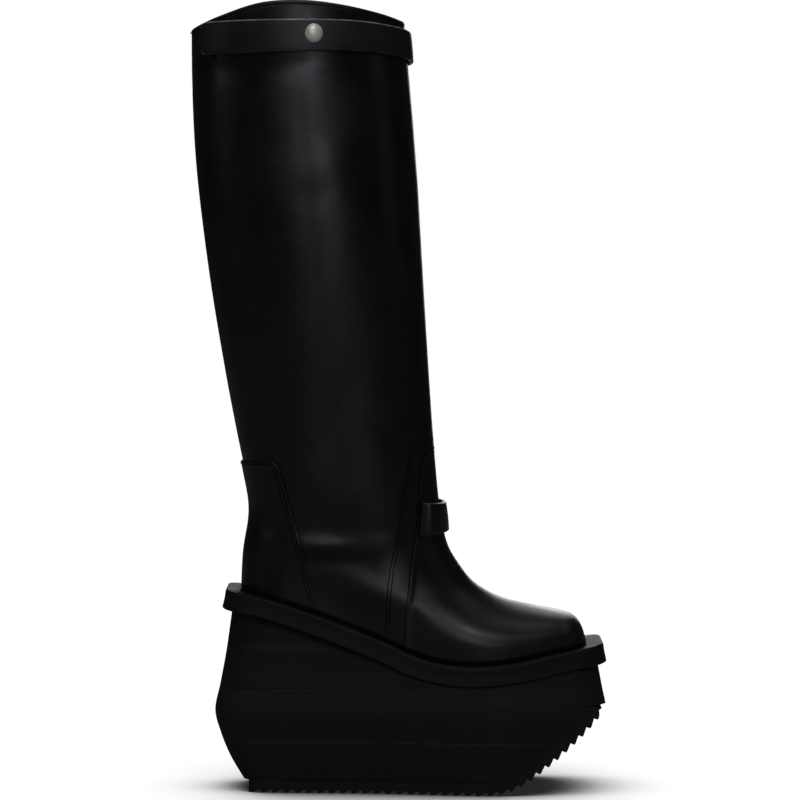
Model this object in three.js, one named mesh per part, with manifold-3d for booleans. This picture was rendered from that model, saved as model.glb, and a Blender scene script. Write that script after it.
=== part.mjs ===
// A knee-high platform boot for the right foot. A square-toed leather upper stands on a bent slab,
// and three foam blocks with a saw-tooth rubber tread carry the slab.
// Millimetres, +Z up. +X points to the toe and -Y to the outer side of the foot; the floor is z = 0.
import * as THREE from 'three';
import { mergeVertices } from 'three/addons/utils/BufferGeometryUtils.js';
import Module from 'manifold-3d';

// ---- Driving dimensions ----
const GAP = 0.3; // clearance between pieces that meet
const WALL = 2.2; // leather and lining of the upper
const INSOLE_THICKNESS = 3;
const INSOLE_MARGIN = 1.6; // insole to the inside of the upper
const HEEL_X = -113.8; // back of the upper at the slab
const UPPER_LENGTH = 250.8; // heel to toe tip, along X
const FEATHER_TUCK = 1.2; // how far the upper draws in where it meets the slab

const SLAB_THICKNESS = 14.2;
const SLAB_START_X = -124.2; // heel end of the slab's top face
const SLAB_END_X = 147.6; // toe end of the slab's top face
const LEDGE = 12; // how far the slab stands out round the upper
const SLAB_CORNER = 20; // radius of the slab's corners seen from above

const TREAD_START_X = -107.4; // heel edge of the tread
const TREAD_FLAT = 170; // straight stretch that stands on the floor
const TREAD_THICKNESS = 9; // tooth tips to the top of the sheet
const TOOTH_PITCH = 8.2;
const TOOTH_DEPTH = 2.7;
const TOOTH_RISE = 1.2; // steep face of a tooth, measured along the tread
const TOOTH_LAND = 1.3; // flat tip of a tooth
const LOWER_JOINT_Z = 39; // joint between base and middle blocks
const UPPER_JOINT_Z = 76.5; // joint between middle block and top wedge

const COUNTER_THICKNESS = 1.3;
const STRAP_WIDTH = 22;
const STRAP_THICKNESS = 3;
const STUD_X = -60.7;
const STUD_Z = 547.9;
const STUD_STAND = 4.7; // back of the stud to the shaft, clear of the strap's curve
const STUD_DIAMETER = 12.4;
const STUD_HEIGHT = 3.6;
const LOOP_THICKNESS = 3;
const LOOP_HALF_WIDTH = 33; // half of the ankle loop across, outside

const ROWS = 27; // steps of the upper from slab to collar
const PAIRS = 23; // points along each side of a ring

// ---- Section tables ----
// Front of the upper in side view, from the toe at the slab to the collar. round: depth below
// this line at which a section reaches its full width; power: 2 is round, more is squarer.
const FRONT_PROFILE = [
  { x: 136.6, z: 107.8, round: 11, power: 2.7 },
  { x: 133.2, z: 118.8, round: 12, power: 2.6 },
  { x: 127.4, z: 125.4, round: 14, power: 2.5 },
  { x: 118.2, z: 128.8, round: 18, power: 2.35 },
  { x: 101.3, z: 132.5, round: 25, power: 2.15 },
  { x: 81.5, z: 136.9, round: 32, power: 2.05 },
  { x: 66.9, z: 142.8, round: 37, power: 2 },
  { x: 53.4, z: 151.6, round: 42, power: 2 },
  { x: 44.2, z: 162.6, round: 46, power: 2 },
  { x: 35.6, z: 177.3, round: 52, power: 2 },
  { x: 30.6, z: 197, round: 58, power: 2 },
  { x: 27.3, z: 226, round: 62, power: 2 },
  { x: 22.8, z: 283.5, round: 67, power: 2 },
  { x: 17.4, z: 371, round: 71, power: 2 },
  { x: 12.1, z: 458.3, round: 75, power: 2 },
  { x: 3.7, z: 554, round: 77, power: 2 },
];
// Back of the upper in side view, from the slab to the collar.
const BACK_PROFILE = [
  { x: HEEL_X, z: 145, round: 32 },
  { x: -112.3, z: 173, round: 36 },
  { x: -108.7, z: 195, round: 44 },
  { x: -108.5, z: 210, round: 50 },
  { x: -112.5, z: 232.5, round: 56 },
  { x: -119.7, z: 269, round: 62 },
  { x: -132.7, z: 342, round: 70 },
  { x: -141.1, z: 400, round: 74 },
  { x: -147.4, z: 458, round: 76 },
  { x: -150.1, z: 516, round: 77 },
  { x: -150.2, z: 552.5, round: 77 },
];
// Half-widths of the foot above the slab, outer and inner side, by share of the upper's length.
const FOOT_WIDTHS = [
  { share: 0, outer: 29, inner: 29 },
  { share: 0.15, outer: 32.5, inner: 32 },
  { share: 0.32, outer: 35, inner: 31 },
  { share: 0.47, outer: 40, inner: 31.5 },
  { share: 0.62, outer: 46.5, inner: 39 },
  { share: 0.74, outer: 47, inner: 44 },
  { share: 0.86, outer: 41, inner: 41.5 },
  { share: 0.95, outer: 33.5, inner: 35.5 },
  { share: 1, outer: 29.5, inner: 32 },
];
// Half-width of the leg by height.
const LEG_WIDTHS = [
  { z: 150, half: 36 },
  { z: 205, half: 41 },
  { z: 260, half: 45 },
  { z: 340, half: 52.5 },
  { z: 420, half: 57.5 },
  { z: 500, half: 59 },
  { z: 570, half: 59 },
];
// Top edge of the shaft in side view: high at the calf, dipping to front and back.
const COLLAR_EDGE = [
  { x: -150.2, z: 552.5 },
  { x: -127.6, z: 560.2 },
  { x: -98.5, z: 568.2 },
  { x: -69.9, z: 570 },
  { x: -41.6, z: 568 },
  { x: -13.3, z: 562 },
  { x: 3.7, z: 554 },
];
// Top face of the slab in side view.
const SLAB_TOP = [
  { x: -126, z: 147.6 },
  { x: -93.8, z: 141 },
  { x: -51.7, z: 127 },
  { x: -9.6, z: 110.6 },
  { x: 15.7, z: 99.4 },
  { x: 45.3, z: 93.9 },
  { x: 79, z: 95.6 },
  { x: 112.8, z: 101.7 },
  { x: 149, z: 108.6 },
];
// Outside of the platform by height: heel end, toe end, how far the sides stand out beyond the slab,
// and the radius of the corners seen from above.
const PLATFORM_SHAPE = [
  { z: 6, back: -111.2, front: 149, side: -11, corner: 12 },
  { z: 26, back: -122.6, front: 150.4, side: -5.5, corner: 15 },
  { z: 44, back: -129.8, front: 151.2, side: -1.5, corner: 18 },
  { z: 60, back: -133.6, front: 151.4, side: 0.5, corner: 20 },
  { z: 79, back: -130, front: 147.8, side: -2, corner: 20 },
  { z: 103, back: -125.6, front: 143.8, side: -6, corner: 19 },
  { z: 136, back: -121, front: 143, side: -9, corner: 18 },
];
// The tread's tooth tips beyond the flat stretch: each arc of the way up the toe.
const TREAD_ARCS = [
  { turn: 35.5, radius: 56 },
  { turn: 13, radius: 300 },
  { turn: 33, radius: 14 },
];
// Cut edge of the heel counter in side view, from the back of the leg down to the slab.
const COUNTER_EDGE = [
  { x: -160, z: 238.4 },
  { x: -92.5, z: 241 },
  { x: -88.6, z: 239.4 },
  { x: -86.6, z: 235.4 },
  { x: -71.1, z: 184.4 },
  { x: -65.3, z: 159.2 },
  { x: -60.3, z: 120 },
  { x: -160, z: 120 },
];
// The strap by angle round the collar, 0 at the front and -90 at the outer side: its top edge, and
// how far its inner face stands off the shaft.
const STRAP_COURSE = [
  { angle: -154, top: 556.3, stand: 1.4 },
  { angle: -125, top: 557, stand: 1 },
  { angle: -90, top: 557.2, stand: 1 },
  { angle: -60, top: 555.6, stand: 1.4 },
  { angle: -30, top: 551.8, stand: 1.7 },
  { angle: 0, top: 548.6, stand: 1.8 },
  { angle: 30, top: 546.6, stand: 1.6 },
  { angle: 70, top: 545.4, stand: 1.2 },
  { angle: 110, top: 545.4, stand: 1 },
  { angle: 146, top: 545.8, stand: 1 },
];
// The ankle loop's lower and upper edge: height, front face and ends.
const LOOP_EDGES = [
  { z: 185.3, front: 37.2, end: 14.8 },
  { z: 208.1, front: 34.6, end: 16.2 },
];

// ---- Numbers ----
const clamp = THREE.MathUtils.clamp;
const lerp = THREE.MathUtils.lerp;
const range = (count) => Array.from({ length: count }, (_, i) => i);

// A smooth value through a table's rows: cubic between rows, each slope taken from its neighbours.
function smooth(rows, key, column) {
  const last = rows.length - 1;
  const slope = (i) => {
    const a = rows[Math.max(i - 1, 0)];
    const b = rows[Math.min(i + 1, last)];
    return (b[column] - a[column]) / (b[key] - a[key]);
  };
  return (wanted) => {
    const at = clamp(wanted, rows[0][key], rows[last][key]);
    const i = clamp(rows.findIndex((row) => row[key] > at) - 1, 0, last - 1) || 0;
    const k = at >= rows[last][key] ? last - 1 : i;
    const step = rows[k + 1][key] - rows[k][key];
    const u = (at - rows[k][key]) / step;
    const v = 1 - u;
    return rows[k][column] * v * v * (1 + 2 * u) + rows[k + 1][column] * u * u * (3 - 2 * u)
      + slope(k) * step * u * v * v - slope(k + 1) * step * u * u * v;
  };
}

// 0 at an edge, 1 once `depth` inside it, rounded like a superellipse of the given power.
function cap(distance, depth, power = 2) {
  const inside = clamp(distance / depth, 0, 1);
  return (1 - (1 - inside) ** power) ** (1 / power);
}

// ---- Profiles in side view ----
// A profile is a smooth curve through a table, read by the share of its length.
function profile(table) {
  let along = 0;
  const rows = table.map((row, i) => {
    if (i > 0) along += Math.hypot(row.x - table[i - 1].x, row.z - table[i - 1].z);
    return { ...row, along };
  });
  const columns = Object.keys(table[0]).map((name) => [name, smooth(rows, 'along', name)]);
  return (share) => Object.fromEntries(columns.map(([name, read]) => [name, read(share * along)]));
}

// The nearest place on a profile to a point, with its distance and the profile's other columns.
function nearest(samples, x, z) {
  let best = { distance: Infinity };
  for (let i = 1; i < samples.length; i += 1) {
    const a = samples[i - 1];
    const b = samples[i];
    const span = (b.x - a.x) ** 2 + (b.z - a.z) ** 2;
    const u = clamp(((x - a.x) * (b.x - a.x) + (z - a.z) * (b.z - a.z)) / span, 0, 1);
    const distance = Math.hypot(lerp(a.x, b.x, u) - x, lerp(a.z, b.z, u) - z);
    if (distance < best.distance) {
      const power = lerp(a.power ?? 2, b.power ?? 2, u);
      best = { distance, round: lerp(a.round, b.round, u), power };
    }
  }
  return best;
}

const frontOfUpper = profile(FRONT_PROFILE);
const backOfUpper = profile(BACK_PROFILE);
const PROFILE_SAMPLES = 220;
const frontSamples = range(PROFILE_SAMPLES).map((i) => frontOfUpper(i / (PROFILE_SAMPLES - 1)));
const backSamples = range(PROFILE_SAMPLES).map((i) => backOfUpper(i / (PROFILE_SAMPLES - 1)));
const slabTop = smooth(SLAB_TOP, 'x', 'z');
const collarEdge = smooth(COLLAR_EDGE, 'x', 'z');
const footWidth = {
  outer: smooth(FOOT_WIDTHS, 'share', 'outer'),
  inner: smooth(FOOT_WIDTHS, 'share', 'inner'),
};
const legWidth = smooth(LEG_WIDTHS, 'z', 'half');
const SIDES = { outer: -1, inner: 1 };

// ---- Solids from rings ----
// A ring holds the outer side's points from heel to toe, then the inner side's from toe to heel.
const ring = (place) => [
  ...range(PAIRS).map((i) => place((i + 0.5) / PAIRS, 'outer')),
  ...range(PAIRS).map((i) => place((PAIRS - i - 0.5) / PAIRS, 'inner')),
];
// Shares of a length, bunched at both ends so that the ends come out round.
const bunched = (share) => (1 - Math.cos(Math.PI * share)) / 2;

// Closes a ring flat: each point of one side is joined to the point opposite on the other side.
function closeRing(index, size, first, facesUp) {
  for (let i = 0; i + 1 < size / 2; i += 1) {
    const [near, nearNext] = [first + i, first + i + 1];
    const [far, farNext] = [first + size - 1 - i, first + size - 2 - i];
    if (facesUp) index.push(near, nearNext, far, nearNext, farNext, far);
    else index.push(near, far, nearNext, nearNext, far, farNext);
  }
}

// Joins a stack of rings, lowest first, into a solid: closed off flat at both ends, or back to the
// first ring when it goes all the way round a wall.
function loft(rings, { round = false } = {}) {
  const size = rings[0].length;
  const stack = round ? [...rings, rings[0]] : rings;
  const index = [];
  const vertex = (k, i) => (k % rings.length) * size + (i % size);
  for (let k = 0; k + 1 < stack.length; k += 1) {
    for (let i = 0; i < size; i += 1) {
      const [a, b, c, d] = [vertex(k, i), vertex(k, i + 1), vertex(k + 1, i + 1), vertex(k + 1, i)];
      index.push(a, b, c, a, c, d);
    }
  }
  if (!round) {
    closeRing(index, size, vertex(0, 0), false);
    closeRing(index, size, vertex(rings.length - 1, 0), true);
  }
  const geometry = new THREE.BufferGeometry();
  const flat = rings.flat().flatMap((point) => [point.x, point.y, point.z]);
  geometry.setAttribute('position', new THREE.Float32BufferAttribute(flat, 3));
  geometry.setIndex(index);
  return geometry;
}

// ---- Cuts ----
const wasm = await Module();
wasm.setup();

function toSolid(geometry) {
  const bare = geometry.clone();
  bare.deleteAttribute('normal');
  bare.deleteAttribute('uv');
  const merged = mergeVertices(bare);
  return new wasm.Manifold(new wasm.Mesh({
    numProp: 3,
    vertProperties: merged.attributes.position.array,
    triVerts: new Uint32Array(merged.index.array),
  }));
}

function fromSolid(solid) {
  const mesh = solid.getMesh();
  const geometry = new THREE.BufferGeometry();
  geometry.setAttribute('position', new THREE.BufferAttribute(mesh.vertProperties, 3));
  geometry.setIndex(new THREE.BufferAttribute(mesh.triVerts, 1));
  return geometry;
}

// ---- The upper's form ----
const FOOT_SHARE = 0.34; // share of the front profile below which rows follow the slab
const COLLAR_SHARE = 0.84; // share above which rows follow the collar
const ROW_BUNCHING = 1.38; // more than 1 packs the rows towards the slab

// Half-width of the boot at a place in side view: foot width below, leg width above, rounded off
// towards the front and the back outline.
function halfWidth(x, z, side) {
  const front = nearest(frontSamples, x, z);
  const back = nearest(backSamples, x, z);
  const above = z - slabTop(x);
  const legShare = THREE.MathUtils.smoothstep(above, 12, 100);
  const full = lerp(footWidth[side]((x - HEEL_X) / UPPER_LENGTH), legWidth(z), legShare);
  const tuck = FEATHER_TUCK * (1 - THREE.MathUtils.smoothstep(above, 0, 7));
  return full * cap(front.distance, front.round, front.power) * cap(back.distance, back.round) - tuck;
}

// How far an edge line bows from the straight line between the outlines' first or last points.
function bow(level, along, edge) {
  const [back, front] = [backOfUpper(level), frontOfUpper(level)];
  return edge(lerp(back.x, front.x, along)) - lerp(edge(back.x), edge(front.x), along);
}

// One row of the upper: a line in side view from the back outline to the front outline. Low rows sag
// with the slab, high rows arch with the collar.
function upperRow(level, drop) {
  const share = level ** ROW_BUNCHING;
  const front = frontOfUpper(share);
  const back = backOfUpper(share * (0.35 + 0.65 * share ** 1.1)); // lags at the heel while the vamp climbs
  const sag = Math.max(0, 1 - share / FOOT_SHARE) ** 1.6;
  const arch = Math.max(0, (share - COLLAR_SHARE) / (1 - COLLAR_SHARE)) ** 1.6;
  return ring((place, side) => {
    const along = bunched(place);
    const x = lerp(back.x, front.x, along);
    const z = lerp(back.z, front.z, along)
      + sag * bow(0, along, (at) => slabTop(at) + GAP)
      + arch * bow(1, along, collarEdge);
    return new THREE.Vector3(x, SIDES[side] * Math.max(halfWidth(x, z, side), 0.6), z - drop);
  });
}

// Rows of the upper moved outwards by `offset` (inwards if negative). The first row stays on the
// slab's face, or `drop` below it, and the last on the collar edge.
function upperRows(offset, drop = 0) {
  const rows = range(ROWS + 1).map((k) => upperRow(k / ROWS, k === 0 ? drop : 0));
  const count = rows[0].length;
  return rows.map((row, k) => row.map((point, i) => {
    const along = new THREE.Vector3().subVectors(row[(i + 1) % count], row[(i + count - 1) % count]);
    const below = rows[Math.max(k - 1, 0)][i];
    const above = rows[Math.min(k + 1, ROWS)][i];
    const normal = along.cross(new THREE.Vector3().subVectors(above, below)).normalize();
    if (k === 0 || k === ROWS) normal.setZ(0).normalize();
    const moved = point.clone().addScaledVector(normal, offset);
    if (k === 0) moved.z = slabTop(moved.x) + GAP - drop;
    if (k === ROWS) moved.z = collarEdge(moved.x);
    return moved;
  }));
}

const makeUpper = () => loft([...upperRows(0), ...upperRows(-WALL).reverse()], { round: true });

function makeInsole() {
  const outline = upperRows(-WALL - INSOLE_MARGIN)[0];
  const atHeight = (height) => outline.map((p) => new THREE.Vector3(p.x, p.y, slabTop(p.x) + height));
  return loft([atHeight(GAP), atHeight(GAP + INSOLE_THICKNESS)]);
}

// The counter lies between two larger forms of the upper, cut to its side outline.
function makeHeelCounter() {
  const outside = toSolid(loft(upperRows(GAP + COUNTER_THICKNESS)));
  const inside = toSolid(loft(upperRows(GAP, 4)));
  const outline = new THREE.Shape(COUNTER_EDGE.map(({ x, z }) => new THREE.Vector2(x, z)));
  const depth = 200;
  const slice = new THREE.ExtrudeGeometry(outline, { depth, bevelEnabled: false, curveSegments: 4 });
  slice.rotateX(Math.PI / 2);
  slice.translate(0, depth / 2, 0);
  return fromSolid(outside.subtract(inside).intersect(toSolid(slice)));
}

// ---- Slab and platform ----
// What a round corner takes off a half-width at a distance from the end.
const cornerLoss = (distance, radius) => radius * (1 - cap(distance, radius));

// Half-width of the slab, with a round corner at both ends.
function slabHalfWidth(x, side) {
  const full = footWidth[side]((x - HEEL_X) / UPPER_LENGTH) + LEDGE - FEATHER_TUCK;
  return full - cornerLoss(x - SLAB_START_X, SLAB_CORNER) - cornerLoss(SLAB_END_X - x, SLAB_CORNER);
}

// A place below the slab's top face, measured square to it.
function belowSlabTop(x, depth) {
  const step = 0.5;
  const slope = Math.atan((slabTop(x + step) - slabTop(x - step)) / (2 * step));
  return { x: x + depth * Math.sin(slope), z: slabTop(x) - depth * Math.cos(slope) };
}

function makeSlab() {
  const face = (depth) => ring((place, side) => {
    const x = lerp(SLAB_START_X, SLAB_END_X, bunched(place));
    const below = belowSlabTop(x, depth);
    return new THREE.Vector3(below.x, SIDES[side] * slabHalfWidth(x, side), below.z);
  });
  return loft([face(SLAB_THICKNESS), face(0)]);
}

// Height of the slab's underside over x, found by stepping back along the square to its top face.
function underSlab(x) {
  let above = x;
  for (let i = 0; i < 6; i += 1) above += x - belowSlabTop(above, SLAB_THICKNESS + GAP).x;
  return belowSlabTop(above, SLAB_THICKNESS + GAP).z;
}

// The tread's line of tooth tips, `height` above it: a flat stretch, then arcs up the toe.
function treadPoint(along, height) {
  if (along <= TREAD_FLAT) return { x: TREAD_START_X + along, z: height };
  let left = along - TREAD_FLAT;
  let heading = 0;
  let [x, z] = [TREAD_START_X + TREAD_FLAT, 0];
  for (const arc of TREAD_ARCS) {
    const turn = Math.min(left / arc.radius, THREE.MathUtils.degToRad(arc.turn));
    x += arc.radius * (Math.sin(heading + turn) - Math.sin(heading));
    z += arc.radius * (Math.cos(heading) - Math.cos(heading + turn));
    heading += turn;
    left -= turn * arc.radius;
  }
  return { x: x - height * Math.sin(heading), z: z + height * Math.cos(heading) };
}
const TREAD_LENGTH = TREAD_FLAT
  + TREAD_ARCS.reduce((sum, arc) => sum + THREE.MathUtils.degToRad(arc.turn) * arc.radius, 0);
const treadEnd = treadPoint(TREAD_LENGTH, TREAD_THICKNESS + GAP);

const platform = Object.fromEntries(['back', 'front', 'side', 'corner']
  .map((column) => [column, smooth(PLATFORM_SHAPE, 'z', column)]));

// Half-width of the platform at a place in side view.
function platformHalfWidth(x, z, side) {
  const share = (x - platform.back(z)) / (platform.front(z) - platform.back(z));
  const full = footWidth[side](share) + LEDGE + platform.side(z);
  const corner = platform.corner(z);
  return full - cornerLoss(x - platform.back(z), corner) - cornerLoss(platform.front(z) - x, corner);
}

// The toe end of the blocks: the tread's inner face low down, the platform's own outline above it.
function blockFront(z) {
  if (z >= treadEnd.z + 1) return platform.front(z) - 0.5;
  let [low, high] = [TREAD_FLAT, TREAD_LENGTH];
  for (let i = 0; i < 30; i += 1) {
    const middle = (low + high) / 2;
    if (treadPoint(middle, TREAD_THICKNESS + GAP).z < z) low = middle;
    else high = middle;
  }
  return treadPoint(low, TREAD_THICKNESS + GAP).x;
}

// A foam block between two heights, either of which may change along the block. Its rings lie at
// shares of the height.
function makeBlock(lowAt, highAt, levels) {
  return loft(levels.map((level) => ring((place, side) => {
    let x = lerp(-120, 140, bunched(place));
    let z = 0;
    for (let i = 0; i < 8; i += 1) {
      z = lerp(lowAt(x), highAt(x), level);
      x = lerp(platform.back(z) + 0.5, blockFront(z), bunched(place));
    }
    return new THREE.Vector3(x, SIDES[side] * platformHalfWidth(x, z, side), z);
  })));
}

const makeBaseLayer = () => makeBlock(
  () => TREAD_THICKNESS + GAP,
  () => LOWER_JOINT_Z - GAP / 2,
  [0, 0.3, 0.65, 1],
);
// The middle block rests on the tread's curved end, then steps out over its edge.
function makeMidLayer() {
  const low = LOWER_JOINT_Z + GAP / 2;
  const high = UPPER_JOINT_Z - GAP / 2;
  const heights = [low, 48, 56, treadEnd.z, treadEnd.z + 1.2, high];
  return makeBlock(() => low, () => high, heights.map((z) => (z - low) / (high - low)));
}
const makeTopWedge = () => makeBlock(
  () => UPPER_JOINT_Z + GAP / 2,
  (x) => underSlab(x),
  [0, 0.35, 0.7, 1],
);

// The tread sheet: teeth whose steep faces look to the heel, cut across its whole width.
function makeOutsole() {
  const teeth = Math.floor(TREAD_LENGTH / TOOTH_PITCH);
  const stations = range(teeth).flatMap((tooth) => {
    const start = tooth * TOOTH_PITCH;
    return [
      { along: start, height: tooth === 0 ? 0 : TOOTH_DEPTH },
      { along: start + TOOTH_RISE, height: 0 },
      { along: start + TOOTH_RISE + TOOTH_LAND, height: 0 },
    ];
  });
  stations.push({ along: teeth * TOOTH_PITCH, height: TOOTH_DEPTH });
  stations.push({ along: TREAD_LENGTH, height: 1 });
  const face = (heightOf) => {
    const line = (side) => stations.map((station) => {
      const { x, z } = treadPoint(station.along, heightOf(station));
      const back = treadPoint(station.along, TREAD_THICKNESS);
      const half = platformHalfWidth(Math.max(back.x, TREAD_START_X), back.z, side);
      return new THREE.Vector3(x, SIDES[side] * half, z);
    });
    return [...line('outer'), ...line('inner').reverse()];
  };
  return loft([face((station) => station.height), face(() => TREAD_THICKNESS)]);
}

// ---- Straps ----
// A flat band along a course: each station holds its lower and upper edge, inside and outside.
const makeBand = (stations) => loft(
  stations.map(({ low, high }) => [low.outer, low.inner, high.inner, high.outer]),
);

// Where a profile passes a height.
function crossing(samples, z) {
  const height = Math.min(z, samples[samples.length - 1].z);
  const i = Math.max(samples.findIndex((sample) => sample.z >= height), 1);
  const [a, b] = [samples[i - 1], samples[i]];
  return lerp(a.x, b.x, (height - a.z) / (b.z - a.z));
}

// A place `offset` outside the shaft's oval, by angle round it: 0 in front, -90 at the outer side.
function aroundShaft(angle, z, offset) {
  const front = crossing(frontSamples, z);
  const back = crossing(backSamples, z);
  const turn = THREE.MathUtils.degToRad(angle);
  return new THREE.Vector3(
    (front + back) / 2 + ((front - back) / 2 + offset) * Math.cos(turn),
    (legWidth(z) + offset) * Math.sin(turn),
    z,
  );
}

// The strap runs round the shaft a little outside it, and its free end is a half circle.
function makeTopStrap() {
  const top = smooth(STRAP_COURSE, 'angle', 'top');
  const stand = smooth(STRAP_COURSE, 'angle', 'stand');
  const first = STRAP_COURSE[0].angle;
  const last = STRAP_COURSE[STRAP_COURSE.length - 1].angle;
  const millimetresPerDegree = 1.15;
  const roundEnd = [0, 0.8, 2, 3.6, 5.4, 7.4].map((turn) => first + turn);
  const steps = 36;
  const angles = [...roundEnd, ...range(steps + 1).map((i) => lerp(first + 10, last, i / steps))];
  return makeBand(angles.map((angle) => {
    const middle = top(angle) - STRAP_WIDTH / 2;
    const fromEnd = (angle - first) * millimetresPerDegree + 0.4;
    const half = (STRAP_WIDTH / 2) * cap(fromEnd, STRAP_WIDTH / 2);
    const edge = (z) => ({
      inner: aroundShaft(angle, z, stand(angle)),
      outer: aroundShaft(angle, z, stand(angle) + STRAP_THICKNESS),
    });
    return { low: edge(middle - half), high: edge(middle + half) };
  }));
}

// A domed stud, its flat back on the strap at the outer side.
function makeStud() {
  const radius = STUD_DIAMETER / 2;
  const rim = 0.8;
  const dome = range(6).map((i) => {
    const turn = (i / 5) * (Math.PI / 2);
    return new THREE.Vector2(radius * Math.cos(turn), rim + (STUD_HEIGHT - rim) * Math.sin(turn));
  });
  dome[5].x = 0;
  const back = [new THREE.Vector2(0, 0), new THREE.Vector2(radius, 0)];
  const geometry = new THREE.LatheGeometry([...back, ...dome], 24);
  geometry.deleteAttribute('uv');
  geometry.deleteAttribute('normal');
  return mergeVertices(geometry, 1e-3);
}

// The angle round the collar at which the strap's middle line passes the stud.
const STUD_ANGLE = (() => {
  const z = smooth(STRAP_COURSE, 'angle', 'top')(-90) - STRAP_WIDTH / 2;
  const [front, back] = [crossing(frontSamples, z), crossing(backSamples, z)];
  return -THREE.MathUtils.radToDeg(Math.acos((STUD_X - (front + back) / 2) / ((front - back) / 2)));
})();

// The ankle loop goes round the front of the ankle, clear of it, between two upright ends.
function makeAnkleLoop() {
  const steps = 22;
  return makeBand(range(steps + 1).map((i) => {
    const turn = lerp(-Math.PI / 2, Math.PI / 2, i / steps);
    const point = (row, inset) => new THREE.Vector3(
      row.end + (row.front - row.end - inset) * Math.cos(turn),
      (LOOP_HALF_WIDTH - inset) * Math.sin(turn),
      row.z,
    );
    const [low, high] = LOOP_EDGES.map((row) => ({
      inner: point(row, LOOP_THICKNESS),
      outer: point(row, 0),
    }));
    return { low, high };
  }));
}

// ---- Finishes ----
const leather = () => new THREE.MeshStandardMaterial({ color: 0x17171a, roughness: 0.42, metalness: 0 });
const foam = () => new THREE.MeshStandardMaterial({ color: 0x1d1d1e, roughness: 0.9, metalness: 0 });
const rubber = () => new THREE.MeshStandardMaterial({ color: 0x19191a, roughness: 0.75, metalness: 0 });
const board = () => new THREE.MeshStandardMaterial({ color: 0x24211f, roughness: 0.7, metalness: 0 });
const nickel = () => new THREE.MeshStandardMaterial({ color: 0xc9c4ba, roughness: 0.38, metalness: 1 });

// ---- Assembly ----
const boot = new THREE.Group();

function add(name, geometry, material) {
  const piece = new THREE.Mesh(geometry, material);
  piece.name = name;
  boot.add(piece);
  return piece;
}

add('outsole', makeOutsole(), rubber());
add('platform_base_layer', makeBaseLayer(), foam());
add('platform_mid_layer', makeMidLayer(), foam());
add('platform_top_wedge', makeTopWedge(), foam());
add('midsole_slab', makeSlab(), foam());
add('insole', makeInsole(), board());
add('upper', makeUpper(), leather());
add('heel_counter', makeHeelCounter(), leather());
add('top_strap', makeTopStrap(), leather());
add('ankle_loop', makeAnkleLoop(), leather());

const stud = add('strap_stud', makeStud(), nickel());
stud.position.copy(aroundShaft(STUD_ANGLE, STUD_Z, STUD_STAND));
stud.rotation.x = Math.PI;

export default boot;
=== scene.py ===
"""A knee-high platform boot for the right foot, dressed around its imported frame.

The boot is a square-toed black leather upper on a bent foam slab, carried by a tall platform of three
glued foam blocks with a saw-tooth rubber tread. Every size below is in millimetres in the frame of the
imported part: +X points to the toe, +Z up, -Y to the outer side of the foot, and the floor is z = 0.
Only the finished meshes, the lights and the camera are in metres.
"""
from __future__ import annotations

import logging
import math
from dataclasses import dataclass
from enum import Enum
from typing import Callable, Sequence

import bpy
import numpy as np
from mathutils import Euler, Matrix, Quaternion, Vector

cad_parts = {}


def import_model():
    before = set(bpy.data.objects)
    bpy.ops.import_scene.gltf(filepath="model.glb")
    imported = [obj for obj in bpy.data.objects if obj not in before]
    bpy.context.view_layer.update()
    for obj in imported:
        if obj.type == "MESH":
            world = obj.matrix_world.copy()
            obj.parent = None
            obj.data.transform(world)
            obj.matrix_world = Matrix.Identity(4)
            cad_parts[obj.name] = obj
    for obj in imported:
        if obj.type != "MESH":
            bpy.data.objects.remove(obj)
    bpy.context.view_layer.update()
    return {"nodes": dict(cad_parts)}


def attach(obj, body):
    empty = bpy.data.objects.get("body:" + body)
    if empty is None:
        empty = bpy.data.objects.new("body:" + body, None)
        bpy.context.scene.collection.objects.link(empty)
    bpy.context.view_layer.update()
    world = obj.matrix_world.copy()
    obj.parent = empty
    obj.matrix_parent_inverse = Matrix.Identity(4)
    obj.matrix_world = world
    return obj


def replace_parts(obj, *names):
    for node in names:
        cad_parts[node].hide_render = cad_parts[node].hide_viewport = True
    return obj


LOG = logging.getLogger("platform_boot")
Array = np.ndarray
Piece = bpy.types.Object
Socket = bpy.types.NodeSocket
Colour = tuple[float, float, float, float]
Triple = tuple[float, float, float]
MM = 0.001
POINTS_AT_ONCE = 6000
SETTLING_ROUNDS = 8


class Side(Enum):
    """The two sides of the foot, with the sign of their Y."""

    OUTER = -1
    INNER = 1


# ---- Numbers and curves ----
def smooth(knots: Sequence[float], values: Sequence[float], at: Array | float) -> Array:
    """Reads a smooth curve: cubic between knots, each slope taken from the knot's neighbours.

    Args:
        knots: rising positions of the curve's rows.
        values: value of each row.
        at: positions to read, held within the first and last knot.

    Returns:
        The curve's value at each position.
    """
    k = np.asarray(knots, float)
    v = np.asarray(values, float)
    x = np.clip(np.asarray(at, float), k[0], k[-1])
    low = np.maximum(np.arange(len(k)) - 1, 0)
    high = np.minimum(np.arange(len(k)) + 1, len(k) - 1)
    slope = (v[high] - v[low]) / (k[high] - k[low])
    i = np.clip(np.searchsorted(k, x, side="right") - 1, 0, len(k) - 2)
    step = k[i + 1] - k[i]
    u = (x - k[i]) / step
    w = 1 - u
    return (v[i] * w * w * (1 + 2 * u) + v[i + 1] * u * u * (3 - 2 * u)
            + slope[i] * step * u * w * w - slope[i + 1] * step * u * u * w)


def read(rows: Sequence[Sequence[float]], at: Array | float, column: int = 1) -> Array:
    """Reads one column of a table of rows as a smooth curve over its first column."""
    table = np.array(rows, float)
    return smooth(table[:, 0], table[:, column], at)


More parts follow.
